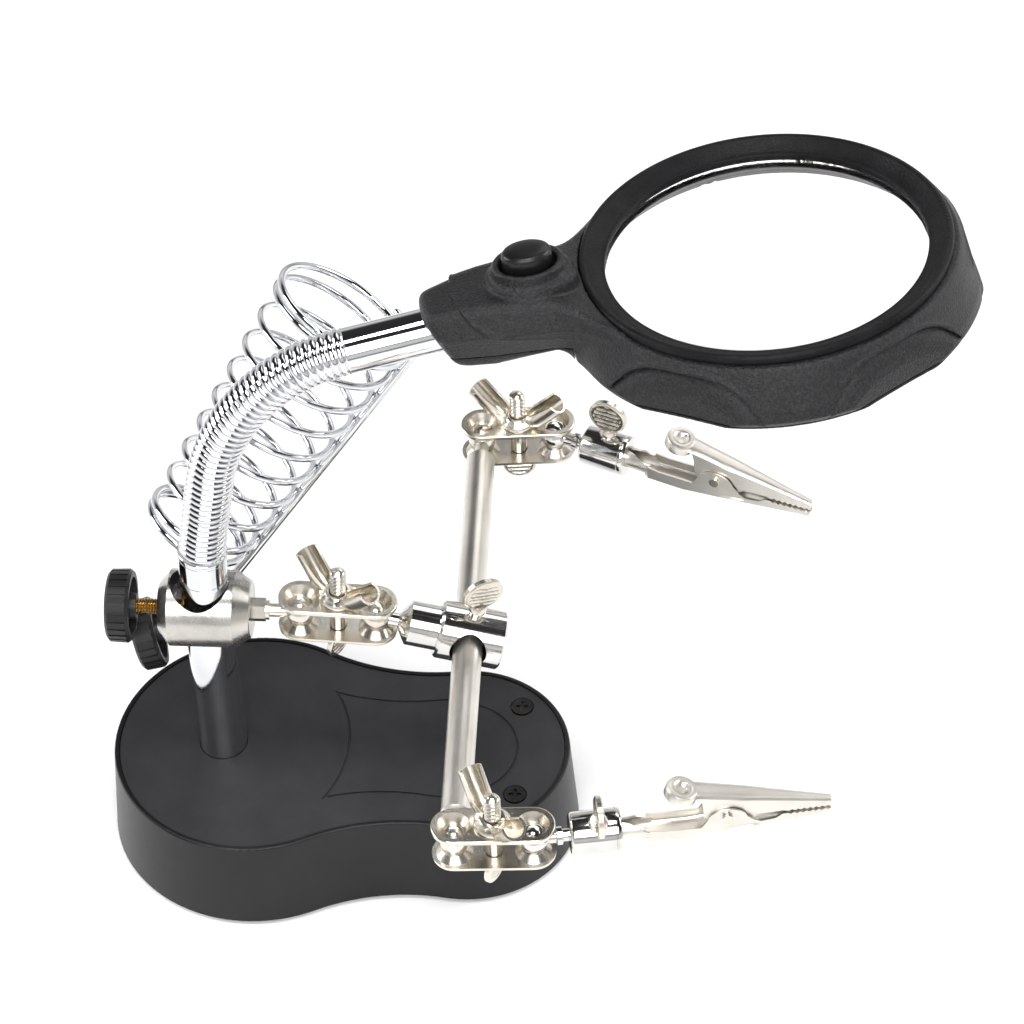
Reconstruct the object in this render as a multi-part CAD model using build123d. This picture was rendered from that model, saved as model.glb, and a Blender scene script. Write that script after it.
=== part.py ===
from build123d import *
import os
from math import acos, atan2, cos, degrees, hypot, pi, radians, sin, sqrt, tan

# Helping hands clamp with a lamp magnifier and a coiled iron stand. Millimetres, +Z up.
# The origin is where the post's axis meets the underside of the base pad.
# +X runs along the base, from the post towards the arms, and +Y away from the front arm.

# ---- Base ----
BIG_R = 42.0                 # big lobe of the base's top outline
SMALL_R = 31.0               # small lobe
LOBE_GAP = 64.0              # between the lobes' centres
WAIST_R = 66.0               # hollow sides between the lobes
BIG_X = 9.2                  # big lobe's centre, seen from the post
BASE_TOP = 32.5              # height of the rim
BASE_DRAFT = 2.3             # how much wider the base is at the floor
PAD_T = 1.5                  # rubber pad under the base
BASE_WALL = 2.6
FLOOR_T = 3.0                # the base's own floor
COVER_T = 2.1                # top cover, let into the rim
COVER_SINK = 0.4             # the cover's face below the rim
COVER_LEDGE = 1.4            # from the base's outside to the cover's edge
FIT = 0.2                    # clearance of the cover in the rim
COVER_SCREWS = ((88.8, 17.2), (88.8, -17.2))
DOOR_X = 64.6                # battery door, in the floor
DOOR = (37.0, 44.0)
SCREW_HEAD_R = 3.2

# ---- Post and gooseneck ----
POST_R = 7.1
POST_BORE_R = 5.6
POST_TOP = 106.0
HOSE_R = 6.8
HOSE_BORE_R = 5.0
TUBE_R = 6.5
TUBE_LEN = 34.0
NECK_AZIMUTH = 14.1          # the vertical plane that the neck bends in
NECK_ARCS = ((15.0, 8.9), (23.7, 1.2), (32.5, 34.3), (28.8, 37.7))   # (length, bend) in turn
HOSE_GAP = 1.6               # room to bend between two lengths of hose

# ---- Head ----
LENS_C = Vector(158.8, 39.95, 200.1)
HEAD_N = Vector(-0.10, 0.10, 0.99).normalized()
HEAD_AZIMUTH = 14.3
LENS_R = 46.0                # lens, edge to edge
LENS_OPEN_R = 44.3           # what the bezel leaves open
HEAD_R = 59.0                # grip around the lens
HEAD_BOTTOM = -16.5          # below the lens plane
HEAD_SPLIT = -9.0            # where the top shell meets the bottom shell
BEZEL_R = 51.6
BEZEL_TOP = 3.4
SHOULDER = 0.9               # the grip's top face, beside the bezel
FLARE_R = 48.2               # the opening under the lens widens to this
LENS_DOME = 220.0            # radius of each face of the lens
SCALLOP_ANGLES = (0, 64, -64, 128, -128)
HANDLE_END = -97.0
HANDLE_MID = -3.5            # height of the handle's rear end, from the lens plane
BUTTON_X = -65.6
BUTTON_TOP = 17.5
BUTTON_TRAVEL = 1.5

# ---- Arm clamp ----
CLAMP_Z = 91.5
CLAMP_R = 11.3
CLAMP_X = (-13.8, 13.0)
CLAMP_BORE_R = 8.7
CLAMP_BORE_X = -1.5
KNOB_R = 10.8
KNOB_T = 7.0
M5_R = 2.5
STAND_AIM = Vector(1.0, 0.20, 0.20).normalized()   # the stand's clamp screw

# ---- Iron stand ----
COIL_FOOT = Vector(-6.19, 23.7, 98.15)     # middle of the coil's small end
COIL_AXIS = Vector(0.538, 0.250, 0.805).normalized()
COIL_SIDE = Vector(0.839, -0.063, -0.541).normalized()   # from the coil to its rod
COIL_LEN = 87.8
COIL_R = (15.2, 20.9)
COIL_WIRE_R = 1.1
STAND_ROD_R = 1.5
STAND_LUG_DROP = 27.0        # from the coil's foot down the rod to the clamp's lug
STAND_ROD_TAIL = 33.5        # rod below the coil's foot

# ---- Ball joints ----
BALL_R = 4.25
BALL_GAP = 22.0              # between a joint's two balls
PLATE_END_R = 6.3
PLATE_IN = 5.1               # from the joint's middle plane to a plate
PLATE_T = 1.2
CUP_LIP = 3.3                # the pressed cup's lip, from the middle plane
CUP_HOLE_R = 2.75
STEM_R = 2.0

# ---- Arms ----
MID_DROOP = 3.0
ROD_CLAMP_DROOP = 15.5
ROD_YAW = 1.1
ROD_CLAMP_REACH = 27.6       # ball to rod
ROD_R = 4.3
ROD_BORE_R = 5.4
ROD_BORE_UP = 1.0            # the screw presses the rod on to the bore's floor
ROD_FRONT = 76.6             # clamp to front ball
ROD_BACK = 80.2              # clamp to back ball
FRONT_YAW = (3.5, 10.7)      # plates, socket
BACK_YAW = (5.7, -20.3)
SOCKET = (10.0, 24.5)        # along the socket's axis, from its ball
SOCKET_R = 6.3
THUMB_AT = 17.8
CLIP_PIVOT = (53.8, 4.2)     # along, above the socket's axis
CLIP_TIP = 83.5
SHEET_T = 0.6

Z_UP = Vector(0, 0, 1)
parts = {}


def keep(name, *solids):
    """One node: a solid, or a group of separate solids."""
    parts[name] = solids[0] if len(solids) == 1 else Compound(children=[Part() + s for s in solids])


def frame(origin, x_dir, z_dir):
    return Plane(origin=origin, x_dir=x_dir, z_dir=z_dir).location


def rod_between(a, b, r):
    """A round bar from a to b."""
    a, b = Vector(a), Vector(b)
    bar = Cylinder(r, (b - a).length, align=(Align.CENTER, Align.CENTER, Align.MIN))
    return Plane(origin=a, z_dir=(b - a).normalized()).location * bar


def up(r, low, high):
    """A bar about Z from low to high."""
    return Pos(0, 0, low) * Cylinder(r, high - low, align=(Align.CENTER, Align.CENTER, Align.MIN))


def along(r, low, high):
    """A bar about X from low to high."""
    return Rot(0, 90, 0) * up(r, low, high)


def turned(*points):
    """A solid of revolution about Z from (radius, height) corners."""
    outline = make_face(Polyline(*[(r, 0, z) for r, z in points], close=True))
    return revolve(outline, Axis.Z)


def turned_x(*points):
    """The same about X, from (distance, radius) corners."""
    outline = make_face(Polyline(*[(x, 0, r) for x, r in points], close=True))
    return revolve(outline, Axis.X)


# ---------------------------------------------------------------- base

def peanut(grow, z):
    """The base's outline, grown by so much, as a face at height z."""
    r1, r2, rf = BIG_R + grow, SMALL_R + grow, WAIST_R - grow
    a, b, d = r1 + rf, r2 + rf, LOBE_GAP
    fx = (a * a - b * b + d * d) / (2 * d)
    fy = sqrt(a * a - fx * fx)
    c1, c2 = Vector(BIG_X, 0, z), Vector(BIG_X + d, 0, z)
    f_top, f_low = Vector(BIG_X + fx, fy, z), Vector(BIG_X + fx, -fy, z)
    t1 = c1 + (f_top - c1).normalized() * r1
    t2 = c2 + (f_top - c2).normalized() * r2
    m = Vector(f_top.X, f_top.Y - rf, z)
    flip = lambda v: Vector(v.X, -v.Y, v.Z)
    edges = [
        ThreePointArc(t1, c1 - Vector(r1, 0, 0), flip(t1)),
        ThreePointArc(flip(t1), flip(m), flip(t2)),
        ThreePointArc(flip(t2), c2 + Vector(r2, 0, 0), t2),
        ThreePointArc(t2, m, t1),
    ]
    return make_face(edges)


def cover_groove():
    """The ornamental line in the cover: a fiddle-like loop."""
    z = BASE_TOP - COVER_SINK - 0.5
    corners = ((31.5, 21.3), (62.0, 18.9), (76.0, 17.4), (76.0, -17.4), (62.0, -18.9), (31.5, -21.3), (31.5, 21.3))
    middles = ((46.5, 18.4), (69.3, 19.2), (88.8, 0), (69.3, -19.2), (46.5, -18.4), (37.5, 0))
    loop = make_face([
        ThreePointArc((*a, z), (*m, z), (*b, z)) for a, m, b in zip(corners, middles, corners[1:])
    ])
    inside = offset(loop, -0.8)
    return extrude(loop - inside, 1.0, dir=(0, 0, 1))


def base_parts():
    draft = degrees(atan2(BASE_DRAFT, BASE_TOP))
    foot_grow = BASE_DRAFT * (1 - PAD_T / BASE_TOP)
    body = extrude(peanut(foot_grow, PAD_T), BASE_TOP - PAD_T, taper=draft)
    rim = body.edges().group_by(Axis.Z)[-1]
    body = fillet(rim, 0.6)
    floor_top = PAD_T + FLOOR_T
    seat = BASE_TOP - COVER_SINK - COVER_T
    body -= extrude(peanut(-BASE_WALL, floor_top), seat - floor_top)
    body -= extrude(peanut(-COVER_LEDGE, seat), BASE_TOP)
    for x, y in COVER_SCREWS:
        body += Pos(x, y, floor_top - 0.5) * up(3.6, 0, seat - floor_top + 0.5)
        body -= Pos(x, y, seat - 12) * up(1.3, 0, 12)
    body -= up(3.2, 0, floor_top + 1)
    body -= up(6.0, PAD_T - 1, PAD_T + 1.3)
    body -= Pos(DOOR_X, 0, PAD_T - 1) * Box(DOOR[0], DOOR[1], FLOOR_T, align=(Align.CENTER, Align.CENTER, Align.MIN))
    body -= Pos(DOOR_X + 1.5, 0, 0) * Box(DOOR[0] - 7, DOOR[1] - 2, 20)
    body -= Pos(DOOR_X - 16.5, 0, 0) * up(1.3, 0, 20)
    keep("base_tub", body)

    cover_top = BASE_TOP - COVER_SINK
    cover = extrude(peanut(-COVER_LEDGE - FIT, seat), COVER_T)
    cover -= up(POST_R + 0.15, seat - 1, BASE_TOP)
    for x, y in COVER_SCREWS:
        cover -= Pos(x, y, 0) * up(1.7, seat - 1, BASE_TOP)
        cover -= Pos(x, y, 0) * up(SCREW_HEAD_R + 0.4, cover_top - 1.1, BASE_TOP)
    keep("base_top_cover", cover - cover_groove())

    screws = []
    for x, y in COVER_SCREWS:
        head = up(SCREW_HEAD_R, cover_top - 1.1, cover_top + 0.2)
        cross = Box(3.8, 0.9, 1.0) + Box(0.9, 3.8, 1.0)
        screw = head + up(1.25, seat - 9, cover_top - 1.1)
        screws.append(Pos(x, y, 0) * (screw - Pos(0, 0, cover_top + 0.2) * cross))
    keep("base_cover_screws", *screws)

    pad = extrude(peanut(foot_grow - 2.5, 0), PAD_T)
    pad -= Pos(DOOR_X, 0, 0) * Box(DOOR[0] + 1, DOOR[1] + 1, 10)
    keep("base_rubber_pad", pad)
    door = Pos(DOOR_X, 0, PAD_T) * Box(DOOR[0] - 0.5, DOOR[1] - 0.5, FLOOR_T - 1.0,
                                        align=(Align.CENTER, Align.CENTER, Align.MIN))
    keep("battery_door", door - Pos(DOOR_X - 16.5, 0, 0) * up(1.3, 0, 10))
    screw = up(1.2, PAD_T - 0.4, floor_top + 3.5) + up(2.2, PAD_T - 0.8, PAD_T - 0.05)
    keep("battery_door_screw", Pos(DOOR_X - 16.5, 0, 0) * screw)

    ballast = Pos(BIG_X, 0, 0) * up(36.0, floor_top, 25.0)
    ballast -= up(POST_R + 0.3, 0, 30)
    keep("base_ballast_weight", ballast)

    box = Pos(DOOR_X, 0, floor_top) * Box(38, 48, 13.5, align=(Align.CENTER, Align.CENTER, Align.MIN))
    cells = []
    for i in (-1, 0, 1):
        x = DOOR_X + 1.2 + 11.2 * i
        box -= Pos(x, 0, floor_top + 6.5) * (Rot(90, 0, 0) * Cylinder(5.5, 45.4))
        box -= Pos(x, 0, floor_top) * Box(9.8, 45.4, 12)
        cells.append(Pos(x, 0, floor_top + 6.5) * (Rot(90, 0, 0) * Cylinder(5.25, 44.5)))
    box -= Pos(DOOR_X - 16.5, 0, 0) * up(1.25, 0, floor_top + 4)
    keep("battery_box", box)
    keep("battery_cells", *cells)

    foot = floor_top
    post = up(POST_R, foot, POST_TOP) - up(POST_BORE_R, 45, POST_TOP + 1)
    post -= up(2.6, foot - 1, foot + 14)
    keep("post_tube", post)
    bolt = up(2.5, PAD_T + 0.2, foot + 12) + up(5.2, PAD_T + 0.1, PAD_T + 1.25)
    bolt -= Pos(0, 0, PAD_T) * (Box(6, 1.2, 1.2) + Box(1.2, 6, 1.2))
    keep("post_bolt", bolt)


# ---------------------------------------------------------------- gooseneck and head

def neck_point(s, z):
    """A point in the neck's vertical plane: s out from the post, z up."""
    a = radians(NECK_AZIMUTH)
    return Vector(s * cos(a), s * sin(a), z)


NECK_SIDE = Vector(-sin(radians(NECK_AZIMUTH)), cos(radians(NECK_AZIMUTH)), 0)


def neck_stations():
    """Where each length of hose starts, as (s, z, heading above level), and where the last one ends."""
    s, z, heading = 0.0, POST_TOP, 90.0
    stations = [(s, z, heading)]
    for length, bend in NECK_ARCS:
        r = length / radians(bend)
        h0, h1 = radians(heading), radians(heading - bend)
        s += r * (sin(h0) - sin(h1))
        z += r * (cos(h1) - cos(h0))
        heading -= bend
        stations.append((s, z, heading))
    return stations


def heading_dir(heading):
    h = radians(heading)
    return neck_point(cos(h), sin(h))


def hose_length(station, length, bend):
    """A bent length of hose, shortened at both ends to leave room for the bend."""
    s, z, heading = station
    r = length / radians(bend)
    trim = degrees(HOSE_GAP / 2 / r)
    # the middle of the bend lies on the inner side, towards the head
    inward = heading_dir(heading - 90)
    middle = neck_point(s, z) + inward * r
    start = heading - trim
    out = heading_dir(start + 90)
    ring = Plane(origin=middle + out * r, x_dir=out, z_dir=heading_dir(start))
    face = ring * (Circle(HOSE_R) - Circle(HOSE_BORE_R))
    return revolve(face, Axis(middle, NECK_SIDE), bend - 2 * trim)


def neck_parts():
    stations = neck_stations()
    for i, (length, bend) in enumerate(NECK_ARCS):
        keep(f"gooseneck_hose_{i + 1}", hose_length(stations[i], length, bend))
    s, z, heading = stations[-1]
    d = heading_dir(heading)
    start = neck_point(s, z)
    tube = rod_between(start + d * (HOSE_GAP / 2), start + d * TUBE_LEN, TUBE_R)
    tube -= rod_between(start, start + d * (TUBE_LEN + 1), HOSE_BORE_R)
    keep("neck_tube", tube)
    return start, d


HEAD_X = Vector(cos(radians(HEAD_AZIMUTH)), sin(radians(HEAD_AZIMUTH)), 0)
HEAD_X = (HEAD_X - HEAD_N * HEAD_X.dot(HEAD_N)).normalized()


def head_frame():
    """The head's own frame: the lens's middle, +X away from the handle, +Z out of the lens's top."""
    return frame(LENS_C, HEAD_X, HEAD_N)


def handle_section(x, half_w, low, high, corner):
    """One cross-section of the handle."""
    plane = Plane(origin=(x, 0, (low + high) / 2), x_dir=(0, 1, 0), z_dir=(1, 0, 0))
    return plane * RectangleRounded(2 * half_w, high - low, corner)


def handle_body(shrink=0.0):
    sections = [
        handle_section(HANDLE_END + shrink, 9.6 - shrink, -11.5 + shrink, 6.6 - shrink, 5.0),
        handle_section(-86.0, 11.4 - shrink, -13.5 + shrink, 7.6 - shrink, 5.0),
        handle_section(-70.0, 13.6 - shrink, -14.5 + shrink, 8.4 - shrink, 5.0),
        handle_section(-57.0, 18.5 - shrink, -15.0 + shrink, 7.0 - shrink, 5.0),
        handle_section(-49.5, 26.5 - shrink, -15.5 + shrink, 2.5 - shrink, 4.5),
    ]
    return loft(sections)


def scallops():
    """The hollows pressed round the grip's edge."""
    cut = Part()
    r = 70.0
    for a in SCALLOP_ANGLES:
        cut += Rot(0, 0, a) * (Pos(HEAD_R - 3.2 + r, 0, 0) * (Rot(0, 7, 0) * Cylinder(r, 60)))
    return cut


def head_parts(tube_start, tube_dir):
    place = head_frame()
    grip = turned((LENS_OPEN_R, SHOULDER), (BEZEL_R, SHOULDER), (53.2, 0.6), (57.0, -5.5), (HEAD_R, -11.5),
                  (58.4, HEAD_BOTTOM), (FLARE_R, HEAD_BOTTOM), (LENS_OPEN_R, -8.6))
    opening = turned((0, -30), (FLARE_R, -30), (FLARE_R, HEAD_BOTTOM), (LENS_OPEN_R, -8.6), (LENS_OPEN_R, 30), (0, 30))
    handle = handle_body()
    whole = (grip - scallops()) + (handle - opening - up(BEZEL_R + 0.1, SHOULDER, 30))
    # room for the lens, the lamp board and the wires
    pocket = turned((0, -6.8), (LENS_R + 0.2, -6.8), (LENS_R + 0.2, -0.4), (48.5, -0.4), (48.5, 5), (0, 5))
    ring_room = turned((48.6, -13.5), (55.0, -13.5), (54.0, -7.0), (48.6, -3.6))
    screw_angles = (32, -32, 96, -96)
    for a in screw_angles:
        ring_room -= Rot(0, 0, a) * (Pos(51.6, 0, 0) * up(3.4, -20, 0))
    handle_room = handle_body(2.2) - up(48.0, -30, 30)
    handle_room -= Pos(HANDLE_END, 0, 0) * Box(30, 60, 60)
    collar = Pos(BUTTON_X, 0, 3.0) * extrude(Ellipse(11.4, 9.6), 8.0, taper=12)
    collar += Pos(BUTTON_X, 0, 10.5) * extrude(Ellipse(8.8, 7.0), 3.1)
    whole += collar
    whole -= pocket
    whole -= ring_room
    whole -= handle_room
    whole -= Pos(BUTTON_X, 0, 3.0) * extrude(Ellipse(7.2, 5.35), 20.0)
    back = place.inverse()
    socket = rod_between(tube_start + tube_dir * 18, tube_start + tube_dir * (TUBE_LEN + 0.2), TUBE_R + 0.06)
    whole -= back * socket
    cut = Pos(-20, 0, HEAD_SPLIT) * Box(260, 180, 60, align=(Align.CENTER, Align.CENTER, Align.MAX))
    cut += up(47.6, -40, -6.8)
    led_angles = (158, 180, 202)
    top = whole - cut
    bottom = whole & cut
    for a in led_angles:
        bottom -= Rot(0, 0, a) * (Pos(51.6, 0, 0) * up(2.7, -20, -10))
    screws = []
    for a in screw_angles:
        at = Rot(0, 0, a) * Pos(51.6, 0, 0)
        bottom -= at * up(1.35, -20, -5) + at * up(2.5, -20, -13.6)
        top -= at * up(1.1, -10, -4.2)
        screws.append(place * (at * (up(1.05, -13.8, -4.6) + up(2.2, HEAD_BOTTOM + 1.2, -13.7))))
    keep("head_top_shell", place * top)
    keep("head_bottom_shell", place * bottom)
    keep("head_screws", *screws)
    bezel = turned((LENS_OPEN_R, -1.4), (LENS_OPEN_R, 0.6), (45.9, 0.6), (49.4, BEZEL_TOP - 0.5),
                   (50.0, BEZEL_TOP), (51.0, BEZEL_TOP), (BEZEL_R, BEZEL_TOP - 0.8), (BEZEL_R, SHOULDER + 0.05),
                   (48.4, SHOULDER + 0.05), (48.4, -0.35), (46.1, -0.35), (46.1, -1.4))
    keep("lens_bezel", place * bezel)

    lens = up(LENS_R, -12, 6)
    lens &= Pos(0, 0, 2.9 - LENS_DOME) * Sphere(LENS_DOME)
    lens &= Pos(0, 0, LENS_DOME - 11.3) * Sphere(LENS_DOME)
    keep("magnifier_lens", place * lens)

    board = turned((49.2, -9.6), (54.2, -9.6), (54.2, -8.4), (49.2, -8.4))
    board &= Pos(-52, 0, -9) * Box(30, 48, 4)
    keep("lamp_board", place * board)
    leds = []
    for a in led_angles:
        led = up(2.4, -14.2, -9.6) + (Pos(0, 0, -14.2) * Sphere(2.4))
        leds.append(place * (Rot(0, 0, a) * (Pos(51.6, 0, 0) * led)))
    keep("lamp_leds", *leds)

    button = Pos(BUTTON_X, 0, 7.0) * extrude(Ellipse(7.0, 5.15), BUTTON_TOP - 7.0)
    button = fillet(button.edges().group_by(Axis.Z)[-1], 1.2)
    keep("lamp_button", place * button)
    switch = Pos(BUTTON_X, 0, -2.0) * Box(8.0, 6.0, 10.0)
    switch += Pos(BUTTON_X, 0, 3.0) * up(1.4, 0, 2.2)
    keep("lamp_switch", place * switch)


# ---------------------------------------------------------------- clamp, knobs and iron stand

def coil_points():
    c1 = COIL_FOOT + COIL_AXIS * COIL_LEN
    off = COIL_WIRE_R + STAND_ROD_R + 0.05
    rod_low = COIL_FOOT + COIL_SIDE * (COIL_R[0] + off)
    rod_high = c1 + COIL_SIDE * (COIL_R[1] + off)
    return rod_low, rod_high


ROD_LOW, ROD_HIGH = coil_points()
ROD_DIR = (ROD_HIGH - ROD_LOW).normalized()
LUG = ROD_LOW - ROD_DIR * STAND_LUG_DROP          # where the stand's screw meets its rod


def knob(r, t):
    """A ribbed knob: its outer face at 0, its hub towards +X."""
    body = turned_x((0, 0), (0, r - 1.2), (0.9, r - 0.2), (t - 1.0, r), (t, r - 0.8), (t, r - 2.4),
                    (t - 3, r - 2.8), (t - 3, 4.2), (t + 1.2, 3.6), (t + 1.2, 0))
    grooves = Part()
    count = 26
    for i in range(count):
        grooves += Rot(360 / count * i, 0, 0) * (Pos(t / 2, 0, r + 0.35) * Box(t - 1.6, 0.9, 1.5))
    return body - grooves


def clamp_parts():
    bore_x = CLAMP_BORE_X
    body = turned_x((CLAMP_X[0], 0), (CLAMP_X[0], 7.4), (CLAMP_X[0] + 3.2, CLAMP_R), (CLAMP_X[1] - 4.6, CLAMP_R),
                    (CLAMP_X[1] - 0.2, 8.4), (CLAMP_X[1], 8.0), (CLAMP_X[1], 0))
    body = Pos(0, 0, CLAMP_Z) * body
    boss = rod_between(LUG - STAND_AIM * 5.0, LUG + STAND_AIM * 4.5, 5.2)
    web_top = Vector(LUG.X, 2.0, CLAMP_Z - 2.0)
    web = rod_between(web_top, LUG, 4.6)
    body = body + web + boss
    body -= Pos(bore_x, 0, 0) * up(CLAMP_BORE_R, 50, 130)
    body -= rod_between(LUG - ROD_DIR * 20, LUG + ROD_DIR * 20, STAND_ROD_R + 0.08)
    body -= rod_between(LUG - STAND_AIM * 12, LUG, M5_R + 0.05)
    body -= Pos(0, 0, CLAMP_Z) * along(M5_R + 0.05, CLAMP_X[0] - 1, 0)
    body -= Pos(0, 0, CLAMP_Z) * along(1.9, 3.0, CLAMP_X[1] + 1)
    keep("arm_clamp", body)

    # the stem screws into the clamp's end: thread, hexagon, neck and ball
    hexagon = extrude(Plane.YZ * RegularPolygon(3.6, 6), 4.0)
    stem = along(1.85, CLAMP_X[1] - 4.4, CLAMP_X[1] + 0.5)
    stem += Pos(CLAMP_X[1] + 0.1, 0, 0) * hexagon
    stem += along(STEM_R, 16, 26)
    stem += along(2.9, 16.5, 18.2)
    stem = Pos(0, 0, CLAMP_Z) * stem + Pos(BL.X, 0, CLAMP_Z) * Sphere(BALL_R)
    keep("arm_stem", stem)

    knob_x = -28.8
    grip = knob(KNOB_R, KNOB_T)
    bore = along(M5_R - 0.05, 2.0, 12)
    keep("post_knob", Pos(knob_x, 0, CLAMP_Z) * (grip - bore))
    keep("post_knob_screw", Pos(0, 0, CLAMP_Z) * along(M5_R - 0.05, knob_x + 2.0, -POST_R - 0.1))

    at = Plane(origin=LUG, x_dir=STAND_AIM, z_dir=STAND_AIM.cross(Vector(0, 1, 0)).normalized()).location
    face = -18.5
    keep("stand_knob", at * (Pos(face, 0, 0) * (knob(KNOB_R, KNOB_T) - bore)))
    # the rod crosses at a slant, so the screw ends in a fine point
    screw = turned_x((face + 2.0, 0), (face + 2.0, M5_R - 0.05), (-7.2, M5_R - 0.05), (-4.1, 0.7), (-4.1, 0))
    keep("stand_knob_screw", at * screw)


def coil_wire():
    """The iron stand's coil: a cone of round wire with close turns at both ends."""
    turns = 10.0
    steps = 16
    n = int(turns * steps)
    points = []
    side = (COIL_SIDE - COIL_AXIS * COIL_AXIS.dot(COIL_SIDE)).normalized()
    side2 = COIL_AXIS.cross(side)
    for i in range(n + 1):
        t = i / steps
        # the end turns lie close, the others are evenly spread
        close = 1.15 * 2 * COIL_WIRE_R
        pitch = (COIL_LEN - 2 * close) / (turns - 2)
        if t < 1:
            h = close * t
        elif t > turns - 1:
            h = COIL_LEN - close * (turns - t)
        else:
            h = close + pitch * (t - 1)
        r = COIL_R[0] + (COIL_R[1] - COIL_R[0]) * h / COIL_LEN
        a = 2 * pi * t
        points.append(COIL_FOOT + COIL_AXIS * h + side * (r * cos(a)) + side2 * (r * sin(a)))
    path = Spline(*points)
    section = Plane(origin=path @ 0, z_dir=path % 0) * Circle(COIL_WIRE_R)
    return sweep(section, path=path, is_frenet=True)


def stand_parts():
    keep("iron_stand_coil", coil_wire())
    keep("iron_stand_rod", rod_between(ROD_LOW - ROD_DIR * STAND_ROD_TAIL, ROD_HIGH, STAND_ROD_R))


# ---------------------------------------------------------------- ball joints

def joint_frames():
    """Every joint frame down the arms, by name."""
    f = {}
    bl = Vector(27.0, 0, CLAMP_Z)
    f["mid"] = Location(bl) * Rot(0, MID_DROOP, 0)
    br = (f["mid"] * Pos(BALL_GAP, 0, 0)).position
    f["rod_clamp"] = Location(br) * Rot(0, 0, ROD_YAW) * Rot(0, ROD_CLAMP_DROOP, 0)
    rc = (f["rod_clamp"] * Pos(ROD_CLAMP_REACH, 0, 0)).position
    f["rod"] = Location(rc) * Rot(0, 0, ROD_YAW)
    for side, reach, yaw in (("front", -ROD_FRONT, FRONT_YAW), ("back", ROD_BACK, BACK_YAW)):
        ball = (f["rod"] * Pos(0, reach, 0)).position
        f[side] = Location(ball) * Rot(0, 0, yaw[0])
        far = (f[side] * Pos(BALL_GAP, 0, 0)).position
        f[side + "_socket"] = Location(far) * Rot(0, 0, yaw[1])
    return f


FRAMES = joint_frames()
BL = FRAMES["mid"].position


def joint_plate(sign):
    """One pressed plate with a cup for each ball."""
    z0, z1 = PLATE_IN, PLATE_IN + PLATE_T
    slab = Pos(BALL_GAP / 2, 0, z0) * extrude(SlotCenterToCenter(BALL_GAP, 2 * PLATE_END_R), PLATE_T)
    slab = fillet(slab.edges().group_by(Axis.Z)[-1], 0.4)
    for x in (0, BALL_GAP):
        cup = turned((0, CUP_LIP), (CUP_HOLE_R + 0.75, CUP_LIP), (5.3, z0 + 0.1), (0, z0 + 0.1))
        hollow = turned((0, CUP_LIP - 0.5), (CUP_HOLE_R, CUP_LIP - 0.5), (CUP_HOLE_R, CUP_LIP),
                        (4.6, z1 + 0.01), (0, z1 + 0.01))
        slab = slab + Pos(x, 0, 0) * cup - Pos(x, 0, 0) * hollow
    slab -= Pos(BALL_GAP / 2, 0, 0) * up(M5_R + 0.1, 0, 20)
    return slab if sign > 0 else mirror(slab, Plane.XY)


def paddle(r, t):
    """The flat round thumb grip of a screw, in the XZ plane."""
    disc = Rot(90, 0, 0) * Cylinder(r, t)
    return chamfer(disc.edges(), 0.5)


def plate_screw(turn):
    """The long screw that closes a joint: thread up, thumb grip underneath."""
    low = -(PLATE_IN + PLATE_T)
    screw = up(M5_R - 0.1, low - 1.5, 18.5) + up(4.0, low - 1.6, low - 0.05)
    grip = Rot(0, 0, turn) * (Pos(0, 0, low - 5.4) * paddle(5.0, 2.0))
    return screw + grip


def wing_nut():
    """A stamped wing nut: a round boss and two curled wings, leaning out along X."""
    low = PLATE_IN + PLATE_T + 0.1
    nut = turned((M5_R, low), (5.4, low), (5.0, low + 1.6), (4.2, low + 3.2), (M5_R, low + 3.2))
    for s in (1, -1):
        curl = Cylinder(3.3, 13.0) - Cylinder(2.5, 14.0)
        curl -= Pos(-3.4 * s, 0, 0) * Box(3.0, 4.0, 14.0)
        wing = Pos(s * 8.6, 0, low + 7.2) * (Rot(0, 42 * s, 0) * curl)
        root = rod_between((s * 3.4, 0, low + 1.3), (s * 6.6, 0, low + 2.6), 1.3)
        nut = nut + wing + root
    nut -= up(M5_R - 0.02, 0, 30)
    return nut


def ball_joint(name, place, screw_turn, wing_turn):
    keep(f"{name}_joint_plates", place * joint_plate(1), place * joint_plate(-1))
    mid = place * Pos(BALL_GAP / 2, 0, 0)
    keep(f"{name}_joint_screw", mid * plate_screw(screw_turn))
    keep(f"{name}_wing_nut", mid * (Rot(0, 0, wing_turn) * wing_nut()))


def loose_ball():
    """A ball bored for the pin that it turns on, along X."""
    return Sphere(BALL_R) - along(STEM_R + 0.05, -6, 6)


def thumb_screw(tip, grip_at):
    """A thumb screw along Z: its tip, and how high the middle of its grip stands."""
    screw = up(1.95, tip, grip_at - 4.6) + up(2.8, grip_at - 7.2, grip_at - 4.2)
    return screw + Pos(0, 0, grip_at) * paddle(6.0, 2.2)


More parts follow.
